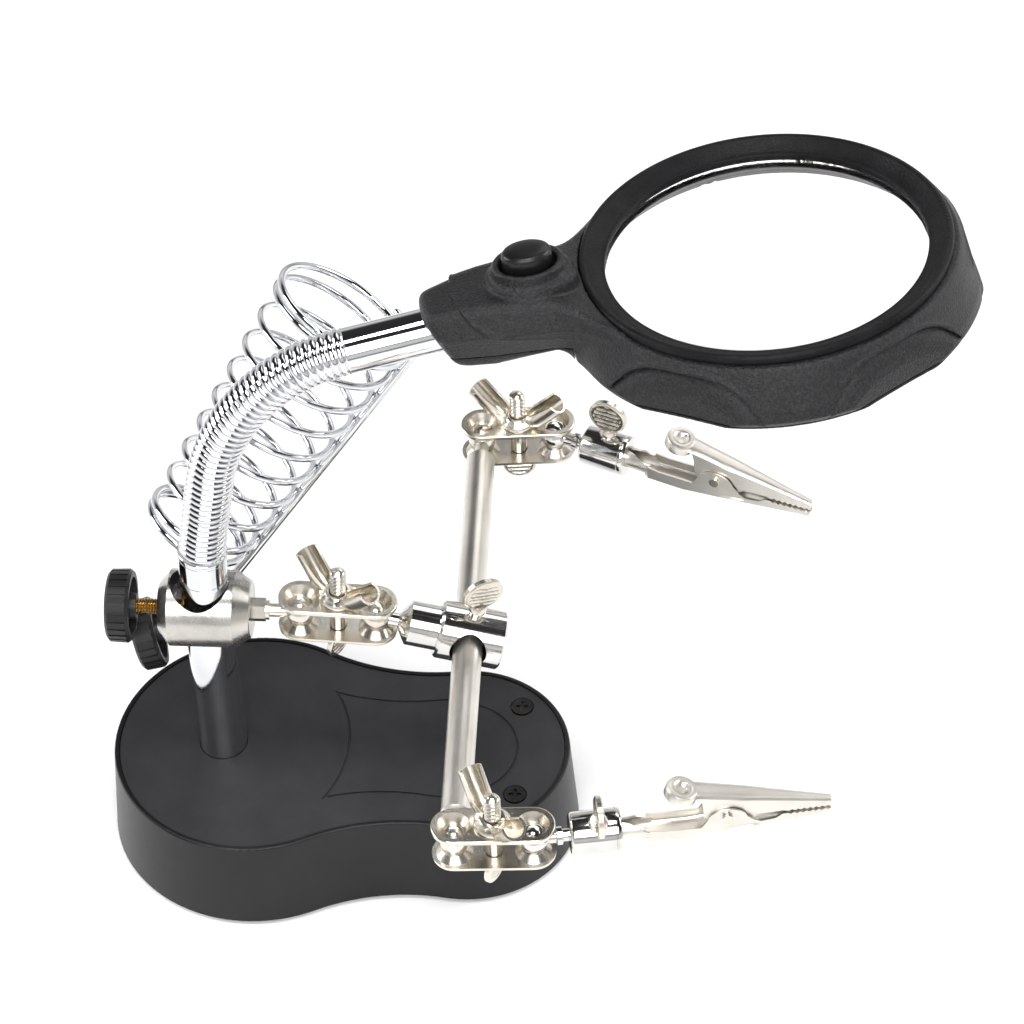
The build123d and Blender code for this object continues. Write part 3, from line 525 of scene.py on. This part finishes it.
def head_field(x, y, z):
    """The head's outside as a distance field, in the lens's frame."""
    rho = np.hypot(x, y)
    ring = polygon_distance(rho, z, [(40, -16.4), (57.2, -16.4), (59.1, -13.4), (58.4, -10.5), (55.6, -4.2),
                                     (53.7, -0.5), (52.8, 0.7), (51.7, 0.85), (40, 0.85)])
    # the pressed panels round the edge, under an arched step
    for a in SCALLOPS:
        c, s = math.cos(math.radians(a)), math.sin(math.radians(a))
        u, v = x * c + y * s, -x * s + y * c
        zz = z + 3.2 * np.abs(v / 15.5) ** 3
        lip = np.interp(zz, [-17.0, -9.5, -6.6, -4.4, -2.9, -2.3],
                        [56.3, 56.0, 55.3, 54.0, 52.4, 60.0]).astype(np.float32)
        lip = lip + 0.55 * (v / 15.5) ** 2 - 0.5
        front = (lip - u) * 0.8
        near = (u > 40) & (np.abs(v) < 26)
        ring = np.where(near, blend_max(ring, -front, 0.35), ring)
        above = zz + 2.5
        fade = ease((20.0 - np.abs(v)) / 4.0) * near
        ring = ring + 0.6 * np.exp(-(above / 0.4) ** 2) * fade - 0.4 * np.exp(-((above - 1.1) / 0.55) ** 2) * fade

    # handle: a rounded bar whose sides lean, swelling into the ring
    xs = [-98, -93, -86, -79, -70, -62, -56, -50, -44]
    wide = np.interp(x, xs, [9.6, 11.0, 12.8, 14.2, 15.3, 16.3, 18.6, 22.5, 26])
    top = np.interp(x, xs, [6.0, 7.2, 8.2, 8.4, 8.2, 7.6, 5.4, 2.2, 0.6])
    low = np.interp(x, xs, [-10.5, -13.0, -14.3, -14.4, -12.8, -11.6, -12.5, -14.5, -15.5])
    ay = np.abs(y)
    mid = 0.0
    upper = (ay - wide) * 0.86 + (z - mid) * 0.5 * (z > mid)
    upper = np.maximum((ay - wide) * 0.9 + np.maximum(z - mid, 0) * 0.42,
                       (ay - wide) * 0.92 + np.maximum(mid - z, 0) * 0.36)
    bar = blend_max(upper, z - top, 2.6)
    bar = blend_max(bar, low - z, 2.2)
    end = (-97.3 + 0.4 * np.maximum(3.0 - z, 0)) - x + 0.012 * ay * ay
    bar = blend_max(bar, end, 2.2)
    bar = blend_max(bar, x + 40.0, 2.0)
    bar = np.maximum(bar, 46.0 - rho)
    body = blend_min(ring, bar, 5.5)
    body = np.maximum(body, np.where(rho < 51.7, z - 0.85, -9.0))

    # the moulded line: what lies behind and below it is a little lower
    line = np.interp(x, [-96, -90, -87, -84, -80, -74, -66, -58, -54],
                     [16, 12, 8.2, 3.4, 0.2, -2.0, -3.6, -4.2, -4.4])
    line = line - 0.016 * np.maximum(11 - ay, 0) ** 2 * (x < -80)
    below = ease((line - z) / 0.55 + 0.5) * ease((-52.0 - x) / 6.0)
    body = body + 0.7 * below
    bead = np.exp(-((z - line - 0.5) / 0.6) ** 2) * ease((-54.0 - x) / 4.0)
    body = body - 0.35 * bead

    # stepped collar round the button, with a moat inside its rim
    bx, by = BUTTON
    q = np.hypot(x - bx, (y - by) / 0.82)
    collar = polygon_distance(q, z, [(0, 0), (13.4, 3.0), (12.9, 8.0), (12.0, 9.8), (11.2, 9.9),
                                     (10.4, 10.9), (10.0, 12.9),
                                     (9.5, 13.5), (8.7, 13.6), (8.0, 13.0), (8.0, 9.0), (0, 9.0)])
    moat = polygon_distance(q, z, [(0, 9.3), (8.0, 9.3), (8.0, 20), (0, 20)])
    body = blend_min(body, collar, 0.7)
    body = np.maximum(body, -moat)

    # lens seat, and the open middle
    seat = np.maximum(rho - 48.6, -(z + 0.4))
    pocket = np.maximum(rho - 46.2, -(z + 6.8))
    lamp_side = ease((-40.0 - x) / 4.0)
    bore = rho - 44.5 - (0.62 - 0.2 * lamp_side) * np.maximum(-7.0 - z, 0)
    for hole in (seat, pocket, bore):
        body = np.maximum(body, -hole)
    return body.astype(np.float32)


def skin(field, low, step):
    """The surface where a field crosses zero."""
    grid = openvdb.FloatGrid(3.0)
    grid.copyFromArray(np.ascontiguousarray(np.clip(field, -3, 3)))
    points, tris, quads = grid.convertToPolygons(isovalue=0.0, adaptivity=0.0)
    points = points * step + np.array(low)
    return [tuple(map(float, p)) for p in points], [tuple(map(int, f)) for f in list(tris) + list(quads)]


def head():
    low, high = (-99.5, -61.0, -18.0), (61.0, 61.0, 15.0)
    axes = [np.arange(a, b, VOXEL, dtype=np.float32) for a, b in zip(low, high)]
    x, y, z = np.meshgrid(*axes, indexing="ij")
    body = head_field(x, y, z)
    rho = np.hypot(x, y)
    # where the lower cover meets the upper one
    split = np.where(x < -57.5, -9.0, -15.4)
    split = np.where(rho < 47.6, -6.6, split)
    top = np.maximum(body, split + 0.14 - z)
    bottom = np.maximum(body, z - split + 0.14)
    bottom = np.where(x < -57.5, bottom + 0.25 * ease((z - split + 1.2) / 1.2), bottom)
    for a in (158, 180, 202):
        hx, hy = 51.6 * math.cos(math.radians(a)), 51.6 * math.sin(math.radians(a))
        bottom = np.maximum(bottom, 2.7 - np.hypot(x - hx, y - hy))
        top = np.maximum(top, np.minimum(2.9 - np.hypot(x - hx, y - hy),
                                         1.0) * (z < -8.2) - 9.0 * (z >= -8.2))
    for a in (32, -32, 96, -96):
        hx, hy = 51.6 * math.cos(math.radians(a)), 51.6 * math.sin(math.radians(a))
        bottom = np.maximum(bottom, np.where(z < -13.6, 2.5 - np.hypot(x - hx, y - hy), -9.0))
        top = np.maximum(top, np.where(z < -13.6, 2.5 - np.hypot(x - hx, y - hy), -9.0))
    for field, name, node in ((top, "head_upper_cover", "head_top_shell"),
                              (bottom, "head_lower_cover", "head_bottom_shell")):
        v, f = skin(field, low, VOXEL)
        soup = Soup(HEAD).add(v, f)
        o = soup.object(name, "spark", 50)
        sm = o.modifiers.new("soften", "SMOOTH")
        sm.factor, sm.iterations = 0.5, 2
        put(o, "head", "spark_plastic", node)


def lens():
    """A biconvex lens with a small stronger spot ground into its top."""
    r_edge, dome = 45.9, 400.0
    spot, spot_r, n, rings = (-27.4, 0.0), 11.0, 220, 115
    verts, faces = [], []

    def sheet(sign):
        base = len(verts)
        for k in range(rings + 1):
            r = r_edge * k / rings
            for i in range(n):
                t = 2 * math.pi * i / n
                x, y = r * math.cos(t), r * math.sin(t)
                z = math.sqrt(dome * dome - r * r) - dome + 1.05
                if sign < 0:
                    z = -7.95 - z
                else:
                    q = math.hypot(x - spot[0], y - spot[1]) / spot_r
                    if q < 1:
                        z += 1.3 * (1 - q * q)
                verts.append((x, y, z))
        for k in range(rings):
            for i in range(n):
                j = (i + 1) % n
                a, b = base + k * n + i, base + k * n + j
                faces.append((a, a + n, b + n, b) if sign > 0 else (a, b, b + n, a + n))
        return base + rings * n

    up_edge = sheet(1)
    low_edge = sheet(-1)
    for i in range(n):
        j = (i + 1) % n
        faces.append((up_edge + i, low_edge + i, low_edge + j, up_edge + j))
    soup = Soup(HEAD).add(verts, faces)
    o = soup.object("lens_glass", "lens", 40)
    bm = bmesh.new()
    bm.from_mesh(o.data)
    bmesh.ops.remove_doubles(bm, verts=bm.verts, dist=1e-6)
    bmesh.ops.dissolve_degenerate(bm, edges=bm.edges, dist=1e-7)
    bmesh.ops.recalc_face_normals(bm, faces=bm.faces)
    bm.to_mesh(o.data)
    bm.free()
    o.data.shade_smooth()
    o.data.set_sharp_from_angle(angle=math.radians(40))
    put(o, "head", "lens_glass", "magnifier_lens")


def button():
    """The push button: a tall oval cap, slightly domed, with a soft edge."""
    prof = [(0, 7.2), (6.9, 7.2), (7.0, 15.2), (6.85, 16.3), (6.4, 16.95), (5.7, 17.2), (3.5, 17.42),
            (0, 17.5)]
    v, f = lathe([(r, z) for r, z in prof], 96)
    v = [(BUTTON[0] + x, BUTTON[1] + y * 0.74, z) for x, y, z in v]
    put(Soup(HEAD).add(v, f).object("lamp_push_button", "button", 50), "lamp_button", "bezel_plastic",
        "lamp_button")


def rim():
    """The rolled rim round the lens: a small lip, a sloping face and a round top."""
    prof = [(44.6, -1.35), (44.6, 0.35), (44.8, 0.6), (45.7, 0.62), (46.0, 0.75), (49.0, 2.62), (49.4, 3.0),
            (49.9, 3.3),
            (50.5, 3.38), (51.05, 3.2), (51.45, 2.8), (51.58, 2.2), (51.55, 1.1), (51.3, 0.96), (48.5, 0.96),
            (48.45, -0.3), (46.15, -0.3), (46.1, -1.35)]
    v, f = lathe(prof, 200)
    put(Soup(HEAD).add(v, f).object("lens_rim", "bezel", 40), "head", "bezel_plastic", "lens_bezel")


# ------------------------------------------------------------------ joint hardware

def at(x, y, z, rz=0.0, ry=0.0):
    return shift(x, y, z) @ turn("Z", rz) @ turn("Y", ry)


MID = at(27, 0, 91.5, 0, 3)
ROD_CLAMP = at(48.97, 0, 90.3486, 1.1, 15.5)
SIDES = {
    "front": (at(77.0317, -76.0753, 82.9728, 3.5), at(98.9906, -74.7322, 82.9728, 10.7), 60, -60, 24, 90),
    "back": (at(74.0215, 80.6958, 82.9728, 5.7), at(95.9127, 82.8808, 82.9728, -20.3), 0, -20, 0, 0),
}
PLATE_TOP = 6.4


def curl(points, radius, wall, gap, up, n=30):
    """A sheet curled into a tube along a path, open along one side; radius and gap may change along it."""
    verts, faces = [], []
    rows = []
    for i, (p, d, _, _) in enumerate(carry(points)):
        t = i / (len(points) - 1)
        r0, g = radius(t), math.radians(gap(t))
        a = (up - d * up.dot(d)).normalized()
        b = d.cross(a)
        row = []
        for r in (r0, r0 - wall):
            for k in range(n + 1):
                w = g / 2 + (2 * math.pi - g) * k / n
                row.append(tuple(p + a * (r * math.cos(w)) + b * (r * math.sin(w))))
        rows.append(row)
    m = 2 * (n + 1)
    for row in rows:
        verts += row
    ring = list(range(n + 1)) + list(range(m - 1, n, -1))
    for k in range(len(rows) - 1):
        for a0, a1 in zip(ring, ring[1:] + ring[:1]):
            faces.append((k * m + a0, k * m + a1, (k + 1) * m + a1, (k + 1) * m + a0))
    for k in (0, len(rows) - 1):
        for q in range(n):
            faces.append((k * m + q, k * m + q + 1, k * m + n + 2 + q, k * m + n + 1 + q))
    return verts, faces


def bezier(a, b, c, n=14):
    a, b, c = Vector(a), Vector(b), Vector(c)
    return [a.lerp(b, i / n).lerp(b.lerp(c, i / n), i / n) for i in range(n + 1)]


def wing_nut(name, place, body, azimuth):
    """A stamped wing nut: a folded collar with two flaps, and two curled wings."""
    low = PLATE_TOP
    soup = Soup(place @ shift(11, 0, 0) @ turn("Z", azimuth))
    soup.add(*lathe([(2.52, low), (5.2, low), (5.45, low + 0.35), (5.4, low + 1.0), (4.9, low + 1.7),
                     (4.3, low + 2.3),
                     (4.0, low + 3.0), (3.5, low + 3.3), (2.7, low + 3.2), (2.52, low + 2.8)], 48))
    for s in (1, -1):
        path = bezier((s * 2.9, 0, low + 1.5), (s * 5.0, 0, low + 2.2), (s * 12.3, 0, low + 11.4), 18)
        soup.add(*curl(path, lambda t: 2.0 + 1.5 * min(1.0, t * 2.1) ** 0.8, 0.7,
                       lambda t: 50 + 75 * t, Vector((-s * 0.8, -0.15, 0.55))))
        # the flap that folds down from each wing to the front
        tip = [(s * 5.6, -1.6, low + 2.6), (s * 3.9, -3.6, low + 2.0), (s * 0.25, -5.3, low + 0.5),
               (s * 0.3, -3.6, low + 2.2),
               (s * 1.6, -2.4, low + 3.4), (s * 4.2, -1.0, low + 3.6)]
        k = len(tip)
        lower = [(x, y + 0.3, z - 0.55) for x, y, z in tip]
        mid = tuple(sum(c) / k for c in zip(*tip))
        verts = tip + lower + [(mid[0], mid[1] - 0.35, mid[2] + 0.45)]
        faces = [(i, (i + 1) % k, 2 * k) for i in range(k)] + [tuple(range(2 * k - 1, k - 1, -1))]
        faces += [(i, (i + 1) % k, k + (i + 1) % k, k + i) for i in range(k)]
        soup.add(verts, faces)
    put(soup.object(name + "_pressed", "nickel", 40), body, "warm_nickel", name)


def paddle(r, t, ridges=True, n=64, rings=26):
    """A round thumb grip in the XZ plane, its faces grooved across the screw."""
    verts, faces = [], []
    for side in (1, -1):
        base = len(verts)
        verts.append((0, side * t / 2, 0))
        for k in range(1, rings + 1):
            q = r * k / rings
            for i in range(n):
                a = 2 * math.pi * i / n
                x, z = q * math.cos(a), q * math.sin(a)
                y = t / 2
                edge = (k / rings - 0.8) / 0.2
                if edge > 0:
                    y *= 1 - 0.45 * edge * edge
                elif ridges:
                    y -= 0.32 * max(0.0, math.cos(2 * math.pi * z / 1.55)) ** 2 * min(1.0, -edge * 2)
                verts.append((x, side * y, z))
        for i in range(n):
            j = (i + 1) % n
            faces.append((base, base + 1 + i, base + 1 + j))
            for k in range(rings - 1):
                u, w = base + 1 + k * n, base + 1 + (k + 1) * n
                faces.append((u + i, w + i, w + j, u + j))
    rim_a, rim_b = 1 + (rings - 1) * n, 1 + rings * n + 1 + (rings - 1) * n
    for i in range(n):
        j = (i + 1) % n
        faces.append((rim_a + i, rim_b + i, rim_b + j, rim_a + j))
    return verts, faces


def plate_screw(name, place, body, azimuth):
    """The screw that closes a joint: thread up, shank, head and a flat grip underneath."""
    low = -PLATE_TOP + 0.1
    soup = Soup(place @ shift(11, 0, 0) @ turn("Z", azimuth))
    soup.add(*thread(2.42, 1.5, PLATE_TOP + 3.0, 18.45, 0.6))
    soup.add(*lathe([(0, low - 1.5), (2.35, low - 1.5), (2.35, PLATE_TOP + 3.4), (0, PLATE_TOP + 3.4)], 36))
    soup.add(*lathe([(0, low - 1.6), (3.3, low - 1.6), (3.95, low - 1.2), (3.95, low - 0.1),
                     (0, low - 0.1)], 36))
    soup.add(*paddle(5.0, 2.0), shift(0, 0, low - 5.4))
    put(soup.object(name + "_turned", "nickel", 35), body, "warm_nickel", name)


def thumb_screw(name, place, body, tip, grip):
    """A thumb screw: threaded shank, a round neck and a ridged disc."""
    soup = Soup(place)
    soup.add(*thread(1.93, 0.8, tip, grip - 6.0, 0.4))
    soup.add(*lathe([(0, grip - 7.1), (2.3, grip - 7.1), (2.75, grip - 6.7), (2.75, grip - 5.2),
                     (2.2, grip - 4.4),
                     (0, grip - 4.2)], 36))
    soup.add(*paddle(6.0, 2.2), shift(0, 0, grip))
    put(soup.object(name + "_turned", "nickel", 35), body, "warm_nickel", name)


def socket(side, place):
    """The turned socket that holds a clip: groove, neck, ball."""
    prof = [(0, -3.6), (1.9, -3.4)]
    prof += [(max(4.22 * math.sin(math.radians(a)), 2.0),
              -4.22 * math.cos(math.radians(a))) for a in range(30, 151, 10)]
    prof += [(1.98, 4.2), (1.98, 6.2), (2.3, 6.35), (2.58, 6.5), (2.58, 8.0), (1.75, 8.2), (1.75, 10.02),
             (5.2, 10.02),
             (5.9, 10.3), (6.25, 10.9), (6.28, 22.6), (6.1, 22.75), (6.1, 23.0), (6.28, 23.15),
             (6.25, 23.9), (5.9, 24.4),
             (3.3, 24.48), (3.3, 14.7), (0, 14.7)]
    v, f = lathe(prof, 72, False)
    soup = Soup(place).add([(z, y, -x) for x, y, z in v], f)
    put(soup.object(f"{side}_clip_socket_turned", "bright", 40), f"{side}_socket", "bright_nickel",
        f"{side}_clip_socket")


# ------------------------------------------------------------------ clips

def width_at(s, table):
    return float(np.interp(s, [a for a, _ in table], [b for _, b in table]))


def flange(soup, outline, table, wall=0.6):
    """Both side walls of a bent sheet, from their outline and its half width."""
    k = len(outline)
    for sign in (1, -1):
        verts = [(s, sign * width_at(s, table), h) for s, h in outline]
        verts += [(s, sign * (width_at(s, table) - wall), h) for s, h in outline]
        faces = [tuple(range(k)), tuple(range(2 * k - 1, k - 1, -1))]
        faces += [(i, (i + 1) % k, k + (i + 1) % k, k + i) for i in range(k)]
        soup.add(verts, faces)


def web(soup, path, table, crown, wall=0.6, cols=14):
    """The back of a bent sheet along a path, rounded into its side walls."""
    fine = []
    for (s0, h0), (s1, h1) in zip(path, path[1:]):
        steps = max(int(math.hypot(s1 - s0, h1 - h0) / 1.5), 1)
        fine += [(s0 + (s1 - s0) * i / steps, h0 + (h1 - h0) * i / steps) for i in range(steps)]
    fine.append(path[-1])
    verts, faces = [], []
    for layer in (0.0, wall):
        for s, h in fine:
            w = width_at(s, table)
            for c in range(cols + 1):
                q = 2 * c / cols - 1
                drop = crown * (1 - math.sqrt(max(1 - abs(q) ** 3.0 * 0.98, 0.0)))
                verts.append((s, (w - layer) * q, h - drop - (layer if crown > 0 else -layer)))
    m, rows = cols + 1, len(fine)
    half = m * rows
    for k in range(rows - 1):
        for c in range(cols):
            a = k * m + c
            faces.append((a, a + 1, a + m + 1, a + m))
            faces.append((half + a, half + a + m, half + a + m + 1, half + a + 1))
        for c in (0, cols):
            a = k * m + c
            faces.append((a, a + m, half + a + m, half + a))
    for k in (0, rows - 1):
        for c in range(cols):
            a = k * m + c
            faces.append((a, half + a, half + a + 1, a + 1))
    soup.add(verts, faces)


def teeth(a, b, h0, h1, count, depth):
    """A row of pointed teeth from a to b along a jaw's edge."""
    out = []
    for i in range(count):
        s = a + (b - a) * i / count
        step = (b - a) / count
        h = h0 + (h1 - h0) * i / count
        out += [(s, h), (s + step * 0.5, h - depth)]
    return out + [(b, h1)]


def clip(side, place):
    px, pz = 53.8, 4.2
    low_w = [(24.0, 3.2), (33.0, 3.55), (46.0, 3.66), (60.0, 3.66), (64.5, 2.5), (83.5, 1.3)]
    ear = [(px + 5.6 * math.cos(math.radians(a)),
            pz - 1.3 + 4.4 * math.sin(math.radians(a))) for a in range(8, 175, 9)]
    outline = [(32.0, -2.9), (43.5, -3.2), (54.0, -2.1), (68.0, -1.7), (83.3, -1.2)]
    outline += list(reversed(teeth(71.0, 83.3, 1.15, 0.5, 7, 0.6))) + [(69.5, 1.2), (67.6, -0.2),
                                                                       (63.4, -0.2), (61.2, 1.6)]
    outline += ear + [(46.6, 0.7), (36.0, 0.8), (32.0, 1.5)]
    soup = Soup(place)
    flange(soup, outline, low_w)
    web(soup, [(31.0, -3.0), (43.5, -3.25), (54.0, -2.15), (68.0, -1.75), (83.2, -1.25)], low_w, -0.9)
    path = [Vector((s, 0, 0)) for s in np.linspace(15.1, 33.5, 30)]
    soup.add(*curl(path, lambda t: 3.18 + 0.36 * ease_one((t - 0.55) / 0.45), 0.6,
                   lambda t: 26 + 150 * ease_one((t - 0.5) / 0.5), Vector((0, 0.1, 1))))
    soup.add(*curl([Vector((px, y, pz)) for y in (3.6, 4.0)], lambda t: 1.45, 0.75, lambda t: 14,
                   Vector((1, 0, 0)), 24))
    soup.add(*curl([Vector((px, y, pz)) for y in (-3.6, -4.0)], lambda t: 1.45, 0.75, lambda t: 14,
                   Vector((1, 0, 0)), 24))
    put(soup.object(f"{side}_clip_lower_sheet", "satin", 40), f"{side}_clip", "warm_nickel",
        f"{side}_clip_lower_jaw")

    up_w = [(40.0, 3.4), (45.0, 3.25), (50.0, 2.95), (58.0, 2.9), (64.0, 2.4), (83.5, 1.25)]
    outline = [(46.2, 12.7), (60.0, 9.2), (72.0, 6.1), (83.3, 3.2)]
    outline += list(reversed([(s, h) for s, h in teeth(71.4, 83.3, 1.85, 1.1, 7, -0.6)]))
    outline += [(69.8, 2.5), (62.6, 2.45), (60.8, 1.3), (52.0, 1.5), (48.4, 2.8), (47.2, 4.8), (46.9, 9.6)]
    soup = Soup(place)
    flange(soup, outline, up_w)
    web(soup, [(43.0, 14.5), (46.2, 13.5), (60.0, 9.9), (72.0, 6.7), (83.3, 3.7)], up_w, 1.1)
    soup.add([(83.0, -1.25, 1.2), (83.4, -1.25, 1.2), (83.4, 1.25, 1.2), (83.0, 1.25, 1.2),
              (83.0, -1.25, 3.4), (83.4, -1.25, 3.4), (83.4, 1.25, 3.4), (83.0, 1.25, 3.4)],
             [(0, 1, 2, 3), (4, 5, 6, 7), (0, 1, 5, 4), (1, 2, 6, 5), (2, 3, 7, 6), (3, 0, 4, 7)])
    # the round thumb pad at the lever's end, in the sheet's plane, with a rolled skirt and a dimple
    prof = [(0, -1.5), (1.6, -1.2), (2.3, -0.4), (3.4, -0.4), (4.0, -0.9), (4.05, -2.8), (4.65, -2.8),
            (4.6, -0.5),
            (4.2, 0.1), (3.4, 0.3), (2.3, 0.25), (1.9, -0.1), (1.2, -0.8), (0, -0.9)]
    soup.add(*lathe(prof, 48, False), shift(41.7, 0, 14.6) @ turn("Y", 15))
    put(soup.object(f"{side}_clip_upper_sheet", "satin", 40), f"{side}_jaw", "warm_nickel",
        f"{side}_clip_upper_jaw")


def ease_one(x):
    x = min(max(x, 0.0), 1.0)
    return x * x * (3 - 2 * x)


def hardware():
    plate_screw("mid_joint_screw", MID, "mid_joint", 60)
    wing_nut("mid_wing_nut", MID, "mid_wing_nut", -38)
    thumb_screw("rod_thumb_screw", ROD_CLAMP @ shift(27.6, 0, 0) @ turn("Z", 25), "rod_thumb_screw", 4.5,
                18.0)
    for side, (joint, sock, screw, wings, tilt, grip) in SIDES.items():
        plate_screw(side + "_joint_screw", joint, side + "_joint", screw)
        wing_nut(side + "_wing_nut", joint, side + "_wing_nut", wings)
        thumb_screw(side + "_thumb_screw", sock @ shift(17.8, 0, 0) @ turn("X", tilt) @ turn("Z", grip),
                    side + "_thumb_screw", 3.35, 14.6)
        socket(side, sock)
        clip(side, sock)


def clamp_screw():
    """The brass screw of the post's knob, threaded where it shows."""
    v, f = thread(2.43, 0.8, 7.3, 26.6, 0.36)
    soup = Soup(shift(0, 0, 91.5) @ turn("Y", -90)).add(v, f)
    put(soup.object("post_knob_screw_turned", "brass", 35), "post_knob", "brass", "post_knob_screw")


# ------------------------------------------------------------------ camera, light, floor

def look_camera():
    """The photograph's viewpoint: a long lens, looking down at the stand from the front."""
    turn, tilt, roll = math.radians(-5.33), math.radians(46.26), math.radians(-2.26)
    fwd = Vector((math.sin(turn) * math.cos(tilt), math.cos(turn) * math.cos(tilt), -math.sin(tilt)))
    right = Vector((math.cos(turn), -math.sin(turn), 0))
    up = right.cross(fwd)
    r = right * math.cos(roll) + up * math.sin(roll)
    u = -right * math.sin(roll) + up * math.cos(roll)
    pos = (Vector((77.64, 128.95, 0)) - fwd * 1301.2) * MM
    rot = Matrix((r, u, -fwd)).transposed().to_4x4()
    cam = bpy.data.cameras.new("camera")
    cam.lens, cam.sensor_width = 139.585, 36.0
    cam.clip_start, cam.clip_end = 0.05, 20.0
    o = bpy.data.objects.new("camera", cam)
    o.matrix_world = Matrix.Translation(pos) @ rot
    bpy.context.scene.collection.objects.link(o)
    bpy.context.scene.camera = o


def area(name, pos, target, size, power, colour=(1, 1, 1)):
    li = bpy.data.lights.new(name, "AREA")
    li.shape, li.size, li.size_y = "RECTANGLE", size[0], size[1]
    li.energy, li.color = power, colour
    o = bpy.data.objects.new(name, li)
    o.location = pos
    o.rotation_euler = (Vector(target) - Vector(pos)).to_track_quat("-Z", "Y").to_euler()
    bpy.context.scene.collection.objects.link(o)


def studio():
    me = bpy.data.meshes.new("floor")
    s = 6.0
    me.from_pydata([(-s, -s, 0), (s, -s, 0), (s, s, 0), (-s, s, 0)], [], [(0, 1, 2, 3)])
    floor = bpy.data.objects.new("floor", me)
    bpy.context.scene.collection.objects.link(floor)
    m = Mat("floor_paper").set(Specular_IOR_Level=0.1)
    m.colour(m.noise(3.0, 2.0), [(0.3, rgb(0.9, 0.9, 0.9)), (0.7, rgb(0.93, 0.93, 0.93))])
    m.roughness(m.noise(40.0), 0.85, 0.95)
    me.materials.append(m.m)
    area("key", (0.16, -0.95, 0.98), (0.08, 0, 0.08), (0.95, 0.8), 15)
    area("left", (-1.15, 0.15, 0.75), (0.05, 0, 0.08), (0.8, 0.7), 11)
    area("right", (1.25, 0.35, 0.8), (0.1, 0, 0.08), (0.8, 0.7), 10)
    area("back", (0.42, 0.95, 0.94), (0.08, 0, 0.1), (0.7, 0.6), 2.8)
    area("over", (0.05, -0.1, 1.5), (0.08, 0, 0.0), (0.5, 0.35), 10)
    w = bpy.data.worlds.new("studio")
    bpy.context.scene.world = w
    w.use_nodes = True
    t = w.node_tree
    bg = t.nodes["Background"]
    co = t.nodes.new("ShaderNodeTexCoord")
    sep = t.nodes.new("ShaderNodeSeparateXYZ")
    ramp = t.nodes.new("ShaderNodeValToRGB")
    mr = t.nodes.new("ShaderNodeMapRange")
    mr.inputs["From Min"].default_value = -1.0
    t.links.new(co.outputs["Generated"], sep.inputs["Vector"])
    t.links.new(sep.outputs["Z"], mr.inputs["Value"])
    t.links.new(mr.outputs["Result"], ramp.inputs["Fac"])
    t.links.new(ramp.outputs["Color"], bg.inputs["Color"])
    el = ramp.color_ramp.elements
    stops = [(0.0, 0.7), (0.5, 0.85), (0.6, 0.95), (0.66, 0.6), (0.74, 0.05), (1.0, 0.03)]
    while len(el) < len(stops):
        el.new(0.5)
    for e, (p, c) in zip(el, stops):
        e.position, e.color = p, (c, c, c, 1)
    bg.inputs["Strength"].default_value = 0.9
    bpy.context.scene.view_settings.view_transform = "Standard"


look_camera()
studio()
gooseneck()
iron_coil()
head()
rim()
lens()
button()
clamp_screw()
hardware()
